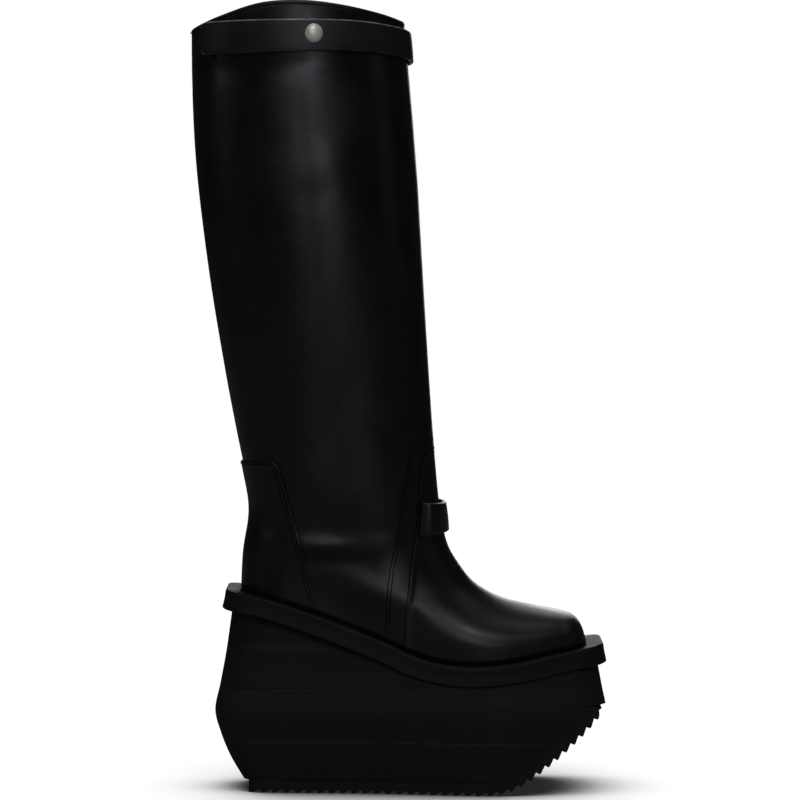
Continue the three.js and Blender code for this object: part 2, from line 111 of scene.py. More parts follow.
def ease(x: Array | float, low: float, high: float) -> Array:
    """Rises smoothly from 0 at `low` to 1 at `high` as 3t^2 - 2t^3."""
    t = np.clip((np.asarray(x, float) - low) / (high - low), 0, 1)
    return t * t * (3 - 2 * t)


def mix(a: Array | float, b: Array | float, share: Array | float) -> Array:
    """Goes straight from a at share 0 to b at share 1."""
    return a + (b - a) * share


def cap(distance: Array | float, depth: Array | float, power: Array | float = 2.0) -> Array:
    """Is 0 at an edge and 1 from `depth` inside it, (1 - (1 - d/depth)^power)^(1/power) between."""
    inside = np.clip(np.asarray(distance, float) / depth, 0, 1)
    return (1 - (1 - inside) ** power) ** (1 / power)


def corner_loss(distance: Array, radius: Array | float) -> Array:
    """What a round corner takes off a half-width at a distance from the end: r (1 - cap(d, r))."""
    return radius * (1 - cap(distance, radius))


def bunched(share: Array) -> Array:
    """Spreads shares of a length so that they crowd at both ends, as (1 - cos(pi t)) / 2."""
    return (1 - np.cos(np.pi * share)) / 2


def out_and_back(per_side: int) -> tuple[Array, Array]:
    """Goes round a ring: shares of the length there and back, crowded at the ends, and the sides."""
    along = bunched((np.arange(per_side) + 0.5) / per_side)
    return np.concatenate([along, along[::-1]]), np.repeat([-1.0, 1.0], per_side)


def unit(vectors: Array) -> Array:
    """Scales vectors to length 1."""
    return vectors / np.maximum(np.linalg.norm(vectors, axis=-1, keepdims=True), 1e-9)


@dataclass(frozen=True)
class Outline:
    """A smooth curve in side view through a short table of rows (x, z, further columns).

    Attributes:
        rows: the table.
        inside: 1 if the body lies to the left of the curve's direction, -1 if to the right.
        samples: how finely the curve is walked when a nearest place is looked for.
    """

    rows: tuple[tuple[float, ...], ...]
    inside: int = 1
    samples: int = 240

    def at(self, share: Array | float) -> Array:
        """Reads every column at shares of the curve's length.

        Args:
            share: places from 0, the first row, to 1, the last.

        Returns:
            An array with one axis more than `share`, its last axis in the rows' order.
        """
        table = np.array(self.rows)
        steps = np.hypot(np.diff(table[:, 0]), np.diff(table[:, 1]))
        along = np.concatenate([[0], np.cumsum(steps)])
        wanted = np.asarray(share, float) * along[-1]
        return np.stack([smooth(along, column, wanted) for column in table.T], -1)

    def x_at(self, z: Array | float) -> Array:
        """Reads x at a height, on a curve that only rises."""
        line = self.at(np.linspace(0, 1, self.samples))
        return np.interp(z, line[:, 1], line[:, 0])

    def nearest(self, x: Array, z: Array) -> tuple[Array, Array]:
        """Finds the closest place on the curve to each point of side view.

        Args:
            x: points' X.
            z: points' Z, same shape.

        Returns:
            The distance of each point, positive on the curve's inside, and the curve's columns
            after x and z there.
        """
        line = self.at(np.linspace(0, 1, self.samples))
        start, step = line[:-1, :2], np.diff(line[:, :2], axis=0)
        x, z = np.broadcast_arrays(x, z)
        flat = np.stack([x.ravel(), z.ravel()], -1)
        parts = []
        for chunk in np.array_split(flat, max(1, len(flat) // POINTS_AT_ONCE)):
            gap = chunk[:, None, :] - start[None]
            u = np.clip((gap * step).sum(-1) / (step ** 2).sum(-1), 0, 1)
            distance = np.linalg.norm(gap - u[..., None] * step, axis=-1)
            best = distance.argmin(1)
            rows = np.arange(len(chunk))
            share = u[rows, best][:, None]
            turn = step[best, 0] * gap[rows, best, 1] - step[best, 1] * gap[rows, best, 0]
            signed = distance[rows, best] * np.where(turn * self.inside >= 0, 1, -1)
            extra = line[best, 2:] * (1 - share) + line[best + 1, 2:] * share
            parts.append(np.concatenate([signed[:, None], extra], 1))
        found = np.concatenate(parts)
        return found[:, 0].reshape(x.shape), found[:, 1:].reshape(*x.shape, -1)


# ---- Meshes ----
def quads(rows: int, columns: int, close_rows: bool = False, close_columns: bool = False) -> Array:
    """Lists the faces of a grid of points stored row by row.

    Args:
        rows: number of rows of points.
        columns: number of points in a row.
        close_rows: join the last row to the first.
        close_columns: join the last point of each row to its first.

    Returns:
        Vertex numbers, one face per row of four.
    """
    down, right = np.arange(rows - 1 + close_rows), np.arange(columns - 1 + close_columns)
    i, j = np.meshgrid(down, right, indexing="ij")
    i_next, j_next = (i + 1) % rows, (j + 1) % columns
    corners = [i * columns + j, i * columns + j_next, i_next * columns + j_next, i_next * columns + j]
    return np.stack(corners, -1).reshape(-1, 4)


def volume(points: Array, faces: Sequence[Array]) -> float:
    """Adds up the signed volume of a closed mesh, by fans from each face's first corner.

    Args:
        points: corners.
        faces: groups of faces, each an array of vertex numbers with one width.

    Returns:
        The volume, below 0 if the faces point inwards.
    """
    total = 0.0
    for group in faces:
        for k in range(1, group.shape[1] - 1):
            a, b, c = points[group[:, 0]], points[group[:, k]], points[group[:, k + 1]]
            total += float((a * np.cross(b, c)).sum()) / 6
    return total


def shell(name: str, points: Array, faces: Sequence[Array], marks: Sequence[int | Array] = (),
          flat: bool = False) -> Piece:
    """Makes one closed mesh object and turns it so that its faces point outwards.

    Args:
        name: the piece's name.
        points: corners in millimetres, any leading shape, three numbers each.
        faces: groups of faces, each an array of vertex numbers with one width.
        marks: material number of each group of faces, or of each face in it.
        flat: shade the faces flat.

    Returns:
        The new object, linked into the scene, with its place in its mesh.
    """
    corners = np.asarray(points, float).reshape(-1, 3)
    groups = [np.asarray(group, int) for group in faces]
    if volume(corners - corners.mean(0), groups) < 0:
        groups = [group[:, ::-1] for group in groups]
    mesh = bpy.data.meshes.new(name)
    mesh.from_pydata((corners * MM).tolist(), [], [face for group in groups for face in group.tolist()])
    mesh.polygons.foreach_set("use_smooth", np.full(len(mesh.polygons), not flat))
    if marks:
        numbers = [np.broadcast_to(mark, len(group)) for mark, group in zip(marks, groups)]
        mesh.polygons.foreach_set("material_index", np.concatenate(numbers).astype(np.int32))
    mesh.update()
    piece = bpy.data.objects.new(name, mesh)
    bpy.context.scene.collection.objects.link(piece)
    return piece


def across(first: int, size: int) -> Array:
    """Closes a ring flat, joining each point of one half to the point opposite in the other half."""
    i = np.arange(size // 2 - 1)
    return first + np.stack([i, i + 1, size - 2 - i, size - 1 - i], -1)


def stacked(name: str, rings: Array, flat: bool = False) -> Piece:
    """Makes a solid from rings of points lying one over another, closed flat at both ends.

    Args:
        name: the piece's name.
        rings: array of rings, points and coordinates, in millimetres.
        flat: shade the faces flat.

    Returns:
        The new object.
    """
    count, size = rings.shape[:2]
    bottom, top = across(0, size)[:, ::-1], across((count - 1) * size, size)
    return shell(name, rings, [quads(count, size, close_columns=True), bottom, top], flat=flat)


def swept(name: str, stations: Array, closed: bool = False,
          marks: Sequence[int | Array] = ()) -> Piece:
    """Makes a solid from a profile carried along a path.

    Args:
        name: the piece's name.
        stations: array of stations, profile points and coordinates, in millimetres.
        closed: the path comes back to its start; otherwise both ends are closed with one face.
        marks: material number of each wall face and of each end.

    Returns:
        The new object.
    """
    count, size = stations.shape[:2]
    wall = quads(count, size, close_rows=closed, close_columns=True)
    if closed:
        return shell(name, stations, [wall], marks[:1])
    ends = np.stack([np.arange(size)[::-1], (count - 1) * size + np.arange(size)])
    return shell(name, stations, [wall, ends], marks)


def two_skins(name: str, outside: Array, inside: Array) -> Piece:
    """Makes a solid between two grids of the same size, joined round their border.

    Args:
        name: the piece's name.
        outside: grid of points of the outer skin.
        inside: grid of points of the inner skin.

    Returns:
        The new object.
    """
    rows, columns = outside.shape[:2]
    number = np.arange(rows * columns).reshape(rows, columns)
    border = np.concatenate([number[0], number[1:, -1], number[-1, -2::-1], number[-2:0:-1, 0]])
    following, far = np.roll(border, -1), rows * columns
    skin = quads(rows, columns)
    wall = np.stack([following, border, border + far, following + far], -1)
    points = np.concatenate([outside.reshape(-1, 3), inside.reshape(-1, 3)])
    return shell(name, points, [skin, skin[:, ::-1] + far, wall])


@dataclass(frozen=True)
class SurfaceLine:
    """A line drawn on a surface, as points with the surface's outward direction at each.

    Attributes:
        points: places in millimetres.
        out: outward directions.
        closed: the line comes back to its start.
    """

    points: Array
    out: Array
    closed: bool = False

    def even(self, step: float) -> "SurfaceLine":
        """Walks the line in equal steps.

        Args:
            step: wanted length of a step, changed a little to fill the line.

        Returns:
            The line with new points.
        """
        both = np.concatenate([self.points, self.out], 1)
        if self.closed:
            both = np.concatenate([both, both[:1]])
        along = np.concatenate([[0], np.cumsum(np.linalg.norm(np.diff(both[:, :3], axis=0), axis=1))])
        count = max(3, round(along[-1] / step))
        wanted = np.linspace(0, along[-1], count, endpoint=not self.closed)
        walked = np.stack([np.interp(wanted, along, column) for column in both.T], -1)
        return SurfaceLine(walked[:, :3], unit(walked[:, 3:]), self.closed)

    def axes(self) -> tuple[Array, Array, Array]:
        """Finds the line's own directions, each square to the next.

        Returns:
            Directions along the line, sideways in the surface (to its left) and outwards.
        """
        if self.closed:
            ahead = unit(np.roll(self.points, -1, 0) - np.roll(self.points, 1, 0))
        else:
            ahead = unit(np.gradient(self.points, axis=0))
        sideways = unit(np.cross(self.out, ahead))
        return ahead, sideways, np.cross(ahead, sideways)

    def beside(self, sideways: float, up: float = 0.0) -> "SurfaceLine":
        """Moves the line to its left (to its right if negative) and outwards."""
        _, left, out = self.axes()
        return SurfaceLine(self.points + left * sideways + out * up, self.out, self.closed)

    def bead(self, name: str, profile: Sequence[tuple[float, float]]) -> Piece:
        """Lays a thin bead along the line.

        Args:
            name: the piece's name.
            profile: the bead's section as (sideways, outwards) in millimetres.

        Returns:
            The new object.
        """
        _, sideways, out = self.axes()
        section = np.array(profile, float)
        stations = (self.points[:, None] + sideways[:, None] * section[None, :, :1]
                    + out[:, None] * section[None, :, 1:])
        return swept(name, stations, self.closed)


# ---- The boot's form ----
@dataclass(frozen=True)
class BootForm:
    """The outlines of last, leg and sole that every piece is worked out from.

    Attributes:
        front: front of the upper from toe to collar: x, z, the depth below the line at which a
            section reaches its full width, and the power of its rounding (2 is round).
        back: back of the upper from slab to collar: x, z, depth.
        foot_rows: half-widths above the slab, by share of the length: outer, inner.
        leg_rows: half-width of the leg by height.
        collar_rows: top edge of the shaft, z by x.
        slab_rows: top face of the slab, z by x.
        wall: thickness of the upper with its lining.
        gap: air between two pieces that lie on each other.
        heel_x: x at which the foot's length starts.
        length: of the foot.
        feather_tuck: how far the upper is drawn in where it meets the slab.
        tuck_height: height over which it is drawn in.
        foot_blend: heights above the slab between which the foot's width turns into the leg's.
        ledge: how far the sole stands out beyond the upper.
        row_bunching: power by which rows crowd towards the slab.
        back_start: share of the even pace at which rows start up the back.
        back_power: power by which the back's rows catch up with the front's.
        foot_share: share of the rows that sag with the slab.
        collar_share: share of the rows below those that arch with the collar.
        bow_power: power by which sag and arch fade.
        least_half: half-width left at the front and back outlines.
        slope_step: step over which the surface's slope is measured.
    """

    wall: float = 2.2
    gap: float = 0.3
    heel_x: float = -113.8
    length: float = 250.8
    feather_tuck: float = 1.2
    tuck_height: float = 4.0
    foot_blend: tuple[float, float] = (12.0, 100.0)
    ledge: float = 12.0
    row_bunching: float = 1.38
    back_start: float = 0.35
    back_power: float = 1.1
    foot_share: float = 0.34
    collar_share: float = 0.84
    bow_power: float = 1.6
    least_half: float = 0.6
    slope_step: float = 0.4
    front: Outline = Outline((
        (136.6, 107.8, 11, 2.7), (133, 118.8, 12, 2.6), (127.2, 125.6, 14, 2.5),
        (118.2, 128.9, 18, 2.35), (101.3, 132.3, 25, 2.15), (81.5, 136.7, 32, 2.05),
        (66.9, 142.4, 37, 2), (53.4, 151.2, 42, 2), (44.2, 162.6, 46, 2),
        (35.6, 177.3, 52, 2), (30.6, 197, 58, 2), (27.3, 226, 62, 2),
        (22.8, 283.5, 67, 2), (17.4, 371, 71, 2), (12.1, 458.3, 75, 2), (3.6, 558, 77, 2)))
    back: Outline = Outline((
        (-113.8, 145, 32), (-112.3, 173, 36), (-108.7, 195, 44), (-108.5, 210, 50), (-112.5, 232.5, 56),
        (-119.7, 269, 62), (-132.7, 342, 70), (-141.1, 400, 74), (-147.4, 458, 76), (-150.1, 516, 77),
        (-150.2, 552.5, 77)), inside=-1)
    foot_rows: tuple = ((0, 29, 29), (0.15, 32.5, 32), (0.32, 35, 31), (0.47, 40, 31.5),
                        (0.62, 46.5, 39), (0.74, 47, 44), (0.86, 41, 41.5), (0.95, 33.5, 35.5),
                        (1, 29.5, 32))
    leg_rows: tuple = ((150, 36), (205, 41), (260, 45), (340, 52.5), (420, 57.5), (500, 59),
                       (570, 59))
    collar_rows: tuple = ((-150.2, 552.5), (-127.6, 560.8), (-98.5, 569.2), (-69.9, 571),
                          (-41.6, 568.2), (-13.3, 562.6), (3.6, 558))
    slab_rows: tuple = ((-126, 147.6), (-93.8, 141), (-51.7, 127), (-9.6, 110.6), (15.7, 99.4),
                        (45.3, 93.9), (79, 95.6), (112.8, 101.7), (149, 108.6))

    def slab_top(self, x: Array | float) -> Array:
        """Height of the slab's top face."""
        return read(self.slab_rows, x)

    def collar(self, x: Array | float) -> Array:
        """Height of the shaft's top edge."""
        return read(self.collar_rows, x)

    def foot_width(self, share: Array, side: Array) -> Array:
        """Half-width of the foot by share of its length; side is -1 outside and 1 inside."""
        return np.where(side < 0, read(self.foot_rows, share, 1), read(self.foot_rows, share, 2))

    def full_width(self, x: Array, z: Array, side: Array) -> Array:
        """Half-width before rounding: the foot's close to the slab, the leg's further up."""
        foot = self.foot_width((x - self.heel_x) / self.length, side)
        return mix(foot, read(self.leg_rows, z), ease(z - self.slab_top(x), *self.foot_blend))

    def half_width(self, x: Array, z: Array, side: Array) -> Array:
        """Half-width of the upper: the full width rounded off to the front and to the back outline.

        Args:
            x, z: places in side view.
            side: -1 outside, 1 inside.

        Returns:
            full width x cap(distance to front) x cap(distance to back), less the tuck at the slab.
        """
        front, front_round = self.front.nearest(x, z)
        back, back_round = self.back.nearest(x, z)
        rounded = cap(front, front_round[..., 0], front_round[..., 1]) * cap(back, back_round[..., 0])
        tuck = self.feather_tuck * (1 - ease(z - self.slab_top(x), 0, self.tuck_height))
        return np.maximum(self.full_width(x, z, side) * rounded - tuck, 0)

    def girth(self, x: Array, z: Array, side: Array) -> Array:
        """Square of the half-width, carried on below zero outside the outlines to keep a slope.

        Args:
            x, z: places in side view.
            side: -1 outside, 1 inside.

        Returns:
            full width^2 (2f - f|f|) (2b - b|b|), with f and b the distances to the front and back
            outlines as shares of their depths.
        """
        front, front_round = self.front.nearest(x, z)
        back, back_round = self.back.nearest(x, z)
        f = np.clip(front / front_round[..., 0], -1, 1)
        b = np.clip(back / back_round[..., 0], -1, 1)
        return self.full_width(x, z, side) ** 2 * (2 * f - f * np.abs(f)) * (2 * b - b * np.abs(b))

    def facing(self, x: Array, z: Array, side: Array) -> Array:
        """Outward direction of the upper: the slope of y^2 - girth(x, z).

        Args:
            x, z: places in side view.
            side: -1 outside, 1 inside.

        Returns:
            Unit vectors.
        """
        step = self.slope_step
        slope_x = (self.girth(x + step, z, side) - self.girth(x - step, z, side)) / (2 * step)
        slope_z = (self.girth(x, z + step, side) - self.girth(x, z - step, side)) / (2 * step)
        return unit(np.stack([-slope_x, 2 * side * self.half_width(x, z, side), -slope_z], -1))

    def bow(self, level: float, along: Array, edge: Callable[[Array], Array]) -> Array:
        """How far an edge line bows from the straight line between the outlines at a level."""
        front, back = self.front.at(level)[0], self.back.at(level)[0]
        return edge(mix(back, front, along)) - mix(edge(back), edge(front), along)

    def grid(self, levels: Array, per_side: int) -> tuple[Array, Array, Array]:
        """Lays rings of points over the upper, from the slab to the collar.

        A row is a straight line in side view between the outlines, sagging with the slab low down
        and arching with the collar high up; its points crowd towards front and back.

        Args:
            levels: heights of the rows as shares, 0 at the slab and 1 at the collar.
            per_side: points from heel to toe along one side.

        Returns:
            Points, outward directions and sides (-1 or 1), a ring to each row of the arrays.
        """
        along = bunched((np.arange(per_side) + 0.5) / per_side)[None]
        share = np.asarray(levels)[:, None] ** self.row_bunching
        front = self.front.at(share)
        back = self.back.at(share * (self.back_start + (1 - self.back_start) * share ** self.back_power))
        sag = np.maximum(0, 1 - share / self.foot_share) ** self.bow_power
        arch = np.maximum(0, (share - self.collar_share) / (1 - self.collar_share)) ** self.bow_power
        x = mix(back[..., 0], front[..., 0], along)
        z = (mix(back[..., 1], front[..., 1], along)
             + sag * self.bow(0, along, lambda at: self.slab_top(at) + self.gap)
             + arch * self.bow(1, along, self.collar))
        x, z = np.concatenate([x, x[:, ::-1]], 1), np.concatenate([z, z[:, ::-1]], 1)
        side = np.broadcast_to(np.repeat([-1.0, 1.0], per_side), x.shape)
        half = np.maximum(self.half_width(x, z, side), self.least_half)
        points = np.stack([x, side * half, z], -1)
        round_it = np.roll(points, -1, 1) - np.roll(points, 1, 1)
        out = np.cross(round_it, np.gradient(points, axis=0))
        out[[0, -1], :, 2] = 0
        return points, unit(out), side

    def around_shaft(self, angle: Array, z: Array, offset: Array) -> Array:
        """Finds places outside the shaft, whose level section is an oval between the outlines.

        Args:
            angle: degrees round the oval, 0 in front and -90 at the outer side.
            z: heights; above the back outline's top the oval stays as it is there.
            offset: distance outside the oval.

        Returns:
            The places.
        """
        height = np.minimum(z, self.back.rows[-1][1])
        front, back = self.front.x_at(height), self.back.x_at(height)
        turn = np.radians(angle)
        x = (front + back) / 2 + ((front - back) / 2 + offset) * np.cos(turn)
        y = (read(self.leg_rows, z) + offset) * np.sin(turn)
        return np.stack(np.broadcast_arrays(x, y, z), -1)


FORM = BootForm()


# ---- Finishes ----
class Wiring:
    """Short hand for adding and joining nodes in one node tree."""

    def __init__(self, tree: bpy.types.NodeTree) -> None:
        """Starts with an empty tree."""
        self.tree = tree
        tree.nodes.clear()

    def add(self, kind: str, settings: dict | None = None, **inputs: object) -> bpy.types.Node:
        """Adds a node.

        Args:
            kind: the node's type without its ShaderNode prefix, or a full type name.
            settings: properties of the node itself.
            **inputs: input sockets by name, spaces as underscores: another socket, or a value.

        Returns:
            The new node.
        """
        node = self.tree.nodes.new(kind if kind.startswith("Node") else "ShaderNode" + kind)
        for name, value in (settings or {}).items():
            setattr(node, name, value)
        self.fill(node, **inputs)
        return node

    def fill(self, node: bpy.types.Node, **inputs: object) -> None:
        """Sets a node's input sockets by name, spaces as underscores."""
        for name, value in inputs.items():
            self.set(node.inputs[name.replace("_", " ")], value)

    def set(self, socket: Socket, value: object) -> None:
        """Links a socket to another, or gives it a value.

        Args:
            socket: an input socket.
            value: an output socket, or the value.
        """
        if isinstance(value, Socket):
            self.tree.links.new(value, socket)
        else:
            socket.default_value = value

    def maths(self, operation: str, *values: object) -> Socket:
        """Adds a Math node.

        Args:
            operation: what it does.
            *values: up to three sockets or numbers.

        Returns:
            Its result.
        """
        node = self.add("Math", {"operation": operation})
        for socket, value in zip(node.inputs, values):
            self.set(socket, value)
        return node.outputs[0]

    def stretch(self, value: object, low: float, high: float, to_low: object = 0.0,
                to_high: object = 1.0) -> Socket:
        """Maps low..high smoothly to to_low..to_high, held at both ends."""
        return self.add("MapRange", {"interpolation_type": "SMOOTHSTEP"}, Value=value, From_Min=low,
                        From_Max=high, To_Min=to_low, To_Max=to_high).outputs[0]

    def noise(self, vector: object, scale: object, detail: float = 2.0,
              roughness: float = 0.5) -> Socket:
        """Adds a Noise texture and gives its value."""
        return self.add("TexNoise", None, Vector=vector, Scale=scale, Detail=detail,
                        Roughness=roughness).outputs["Fac"]

    def scaled(self, vector: object, scale: Triple,
               turn: Triple = (0, 0, 0)) -> Socket:
        """Scales and turns a vector."""
        return self.add("Mapping", None, Vector=vector, Scale=scale, Rotation=turn).outputs[0]

    def blend(self, share: object, a: object, b: object) -> Socket:
        """Mixes two colours.

        Args:
            share: 0 for the first, 1 for the second.
            a: the first colour.
            b: the second colour.

        Returns:
            The mixed colour.
        """
        node = self.add("Mix", {"data_type": "RGBA"})
        self.set(node.inputs["Factor"], share)
        self.set(node.inputs[6], a)
        self.set(node.inputs[7], b)
        return node.outputs[2]


def effect(name: str, inputs: dict[str, float | None], outputs: Sequence[str],
           draw: Callable[[Wiring, dict[str, Socket]], Sequence[Socket]]) -> bpy.types.NodeTree:
    """Builds a shader node group once.

    Args:
        name: the group's name.
        inputs: input names with their defaults; None makes a vector input.
        outputs: names of the value outputs.
        draw: wires the inside; it is given the wiring and the input sockets, and returns one socket
            for each output.

    Returns:
        The node group.
    """
    if name in bpy.data.node_groups:
        return bpy.data.node_groups[name]
    tree = bpy.data.node_groups.new(name, "ShaderNodeTree")
    wires = Wiring(tree)
    for label, default in inputs.items():
        kind = "NodeSocketVector" if default is None else "NodeSocketFloat"
        socket = tree.interface.new_socket(label, in_out="INPUT", socket_type=kind)
        if default is not None:
            socket.default_value = default
    for label in outputs:
        tree.interface.new_socket(label, in_out="OUTPUT", socket_type="NodeSocketFloat")
    source = wires.add("NodeGroupInput")
    sink = wires.add("NodeGroupOutput")
    results = draw(wires, {label: source.outputs[label] for label in inputs})
    for label, result in zip(outputs, results):
        wires.set(sink.inputs[label], result)
    return tree


def leather_grain() -> bpy.types.NodeTree:
    """Group: fine pebble of box calf, small cells with pores, over a slow swell of the hide.

    Returns:
        Group with Vector, Cell (cells per metre) and Swell; gives Height and Pores.
    """
    def draw(wires: Wiring, given: dict[str, Socket]) -> Sequence[Socket]:
        """Height is swell - 0.45 x distance to the nearest cell, less 0.25 in a pore.

        Args:
            wires: the group's wiring.
            given: its inputs by name.

        Returns:
            Height and Pores.
        """
        bent = wires.add("VectorMath", {"operation": "MULTIPLY_ADD"})
        wander = wires.add("TexNoise", None, Vector=given["Vector"], Scale=160.0, Detail=1.0)
        wires.set(bent.inputs[0], wander.outputs["Color"])
        wires.set(bent.inputs[1], (0.002, 0.002, 0.002))
        wires.set(bent.inputs[2], given["Vector"])
        cells = wires.add("TexVoronoi", {"feature": "SMOOTH_F1"}, Vector=bent.outputs[0],
                          Scale=given["Cell"], Smoothness=0.6)
        swell = wires.noise(given["Vector"], given["Swell"], 3.0)
        pores = wires.stretch(wires.noise(bent.outputs[0], given["Cell"], 1.0), 0.66, 0.74)
        height = wires.maths("MULTIPLY_ADD", cells.outputs["Distance"], -0.45, swell)
        return wires.maths("MULTIPLY_ADD", pores, -0.25, height), pores

    return effect("leather_grain", {"Vector": None, "Cell": 1500.0, "Swell": 55.0},
                  ("Height", "Pores"), draw)


def clouding() -> bpy.types.NodeTree:
    """Group: soft blotches between two values, for polish and dye that lie unevenly.

    Returns:
        Group with Vector, Scale, Low and High; gives Value.
    """
    def draw(wires: Wiring, given: dict[str, Socket]) -> Sequence[Socket]:
        """Value follows a broad noise from Low to High.

        Args:
            wires: the group's wiring.
            given: its inputs by name.

        Returns:
            Value.
        """
        broad = wires.noise(given["Vector"], given["Scale"], 2.0, 0.5)
        return (wires.stretch(broad, 0.32, 0.68, given["Low"], given["High"]),)

    return effect("clouding", {"Vector": None, "Scale": 30.0, "Low": 0.3, "High": 0.5},
                  ("Value",), draw)


def hairlines() -> bpy.types.NodeTree:
    """Group: sparse fine scratches, long thin noise cut at a threshold in two directions.

    Returns:
        Group with Vector and Amount; gives Mask.
    """
    def draw(wires: Wiring, given: dict[str, Socket]) -> Sequence[Socket]:
        """Mask is the larger of two thresholded noises, each stretched along its own direction.

        Args:
            wires: the group's wiring.
            given: its inputs by name.

        Returns:
            Mask.
        """
        masks = []
        for turn in (0.5, -0.9):
            long_way = wires.scaled(given["Vector"], (1500, 1500, 60), (0, turn, 0))
            line = wires.stretch(wires.noise(long_way, 1.0, 2.0), 0.72, 0.8)
            patch = wires.stretch(wires.noise(given["Vector"], 45.0, 1.0), 0.52, 0.66)
            masks.append(wires.maths("MULTIPLY", line, patch))
        both = wires.maths("MAXIMUM", masks[0], masks[1])
        return (wires.maths("MULTIPLY", both, given["Amount"]),)

    return effect("hairlines", {"Vector": None, "Amount": 1.0}, ("Mask",), draw)


def foam_skin() -> bpy.types.NodeTree:
    """Group: the buffed face of moulded foam, fine closed cells with a few open pits and long rubs.

    Returns:
        Group with Vector and Cell (cells per metre); gives Height, Pits and Rubs.
    """
    def draw(wires: Wiring, given: dict[str, Socket]) -> Sequence[Socket]:
        """Height is fine noise + 0.5 x distance to the nearest cell, less 0.6 in a pit.

        Args:
            wires: the group's wiring.
            given: its inputs by name.

        Returns:
            Height, Pits and Rubs.
        """
        cells = wires.add("TexVoronoi", {"feature": "F1"}, Vector=given["Vector"], Scale=given["Cell"])
        fine = wires.noise(given["Vector"], given["Cell"], 3.0, 0.7)
        pits = wires.stretch(wires.noise(given["Vector"], 420.0, 2.0), 0.68, 0.78)
        lengthways = wires.scaled(given["Vector"], (14, 40, 130))
        rubs = wires.stretch(wires.noise(lengthways, 1.0, 4.0, 0.6), 0.5, 0.72)
        height = wires.maths("MULTIPLY_ADD", cells.outputs["Distance"], 0.5, fine)
        return wires.maths("MULTIPLY_ADD", pits, -0.6, height), pits, rubs

    return effect("foam_skin", {"Vector": None, "Cell": 1900.0}, ("Height", "Pits", "Rubs"), draw)


def grey(value: float, warmth: float = 0.0) -> Colour:
    """Gives a near-neutral colour; warmth above 0 leans to brown, below 0 to blue."""
    return (value * (1 + warmth), value, value * (1 - warmth), 1.0)


def clouds(wires: Wiring, place: Socket, scale: float, low: float = 0.0, high: float = 1.0) -> Socket:
    """Adds the clouding group and gives its value."""
    return wires.add("Group", {"node_tree": clouding()}, Vector=place, Scale=scale, Low=low,
                     High=high).outputs["Value"]


@dataclass(frozen=True)
class SurfaceFinish:
    """A finish wired around one Principled shader.

    Attributes:
        name: the material's name.
    """

    name: str

    def draw(self, wires: Wiring, shader: bpy.types.Node, place: Socket) -> None:
        """Wires the finish.

        Args:
            wires: the material's wiring.
            shader: its Principled shader.
            place: the object coordinates.
        """
        raise NotImplementedError

    def material(self) -> bpy.types.Material:
        """Builds the material, or finds it.

        Returns:
            The material.
        """
        if self.name in bpy.data.materials:
            return bpy.data.materials[self.name]
        material = bpy.data.materials.new(self.name)
        material.use_nodes = True
        wires = Wiring(material.node_tree)
        shader = wires.add("BsdfPrincipled")
        output = wires.add("OutputMaterial")
        wires.set(output.inputs["Surface"], shader.outputs[0])
        self.draw(wires, shader, wires.add("TexCoord").outputs["Object"])
        return material

    @staticmethod
    def emboss(wires: Wiring, shader: bpy.types.Node, height: Socket, depth: float) -> None:
        """Tilts the shader's normal by a height whose unit is `depth` metres."""
        bump = wires.add("Bump", None, Height=height, Distance=depth)
        wires.set(shader.inputs["Normal"], bump.outputs[0])


@dataclass(frozen=True)
class LeatherFinish(SurfaceFinish):
    """Aniline black leather: a dark dye, uneven polish, fine grain and a few hairlines.

    Attributes:
        name: the material's name.
        dark: the dye where it took well.
        light: the dye where it is thin.
        warmth: lean of the dye to brown, or to blue below 0.
        sheen_tint: tint of the reflections.
        polish: roughness where the leather is polished.
        dull: roughness where it is not.
        specular: strength of the reflections.
        cell: cells of the grain per metre.
        swell: swells of the hide per metre.
        grain_depth: height of the grain, in metres.
        lines: strength of the hairlines.
    """

    name: str = "black_box_calf"
    dark: float = 0.0026
    light: float = 0.0048
    warmth: float = -0.1
    sheen_tint: Colour = (0.9, 0.905, 1.0, 1.0)
    polish: float = 0.29
    dull: float = 0.4
    specular: float = 0.54
    cell: float = 1500.0
    swell: float = 55.0
    grain_depth: float = 0.00007
    lines: float = 0.6

    def draw(self, wires: Wiring, shader: bpy.types.Node, place: Socket) -> None:
        """Wires dye, polish, grain and hairlines.

        Args:
            wires: the material's wiring.
            shader: its Principled shader.
            place: the object coordinates.
        """
        grain = wires.add("Group", {"node_tree": leather_grain()}, Vector=place, Cell=self.cell,
                          Swell=self.swell)
        scratch = wires.add("Group", {"node_tree": hairlines()}, Vector=place, Amount=self.lines)
        polish = clouds(wires, place, 28.0, self.polish, self.dull)
        dye = wires.blend(clouds(wires, place, 17.0), grey(self.dark, self.warmth),
                          grey(self.light, self.warmth))
        wires.fill(shader, Base_Color=wires.blend(scratch.outputs["Mask"], dye, grey(0.03)),
                   Roughness=wires.maths("MULTIPLY_ADD", grain.outputs["Pores"], 0.06, polish),
                   Specular_IOR_Level=self.specular, Specular_Tint=self.sheen_tint)
        self.emboss(wires, shader, grain.outputs["Height"], self.grain_depth)


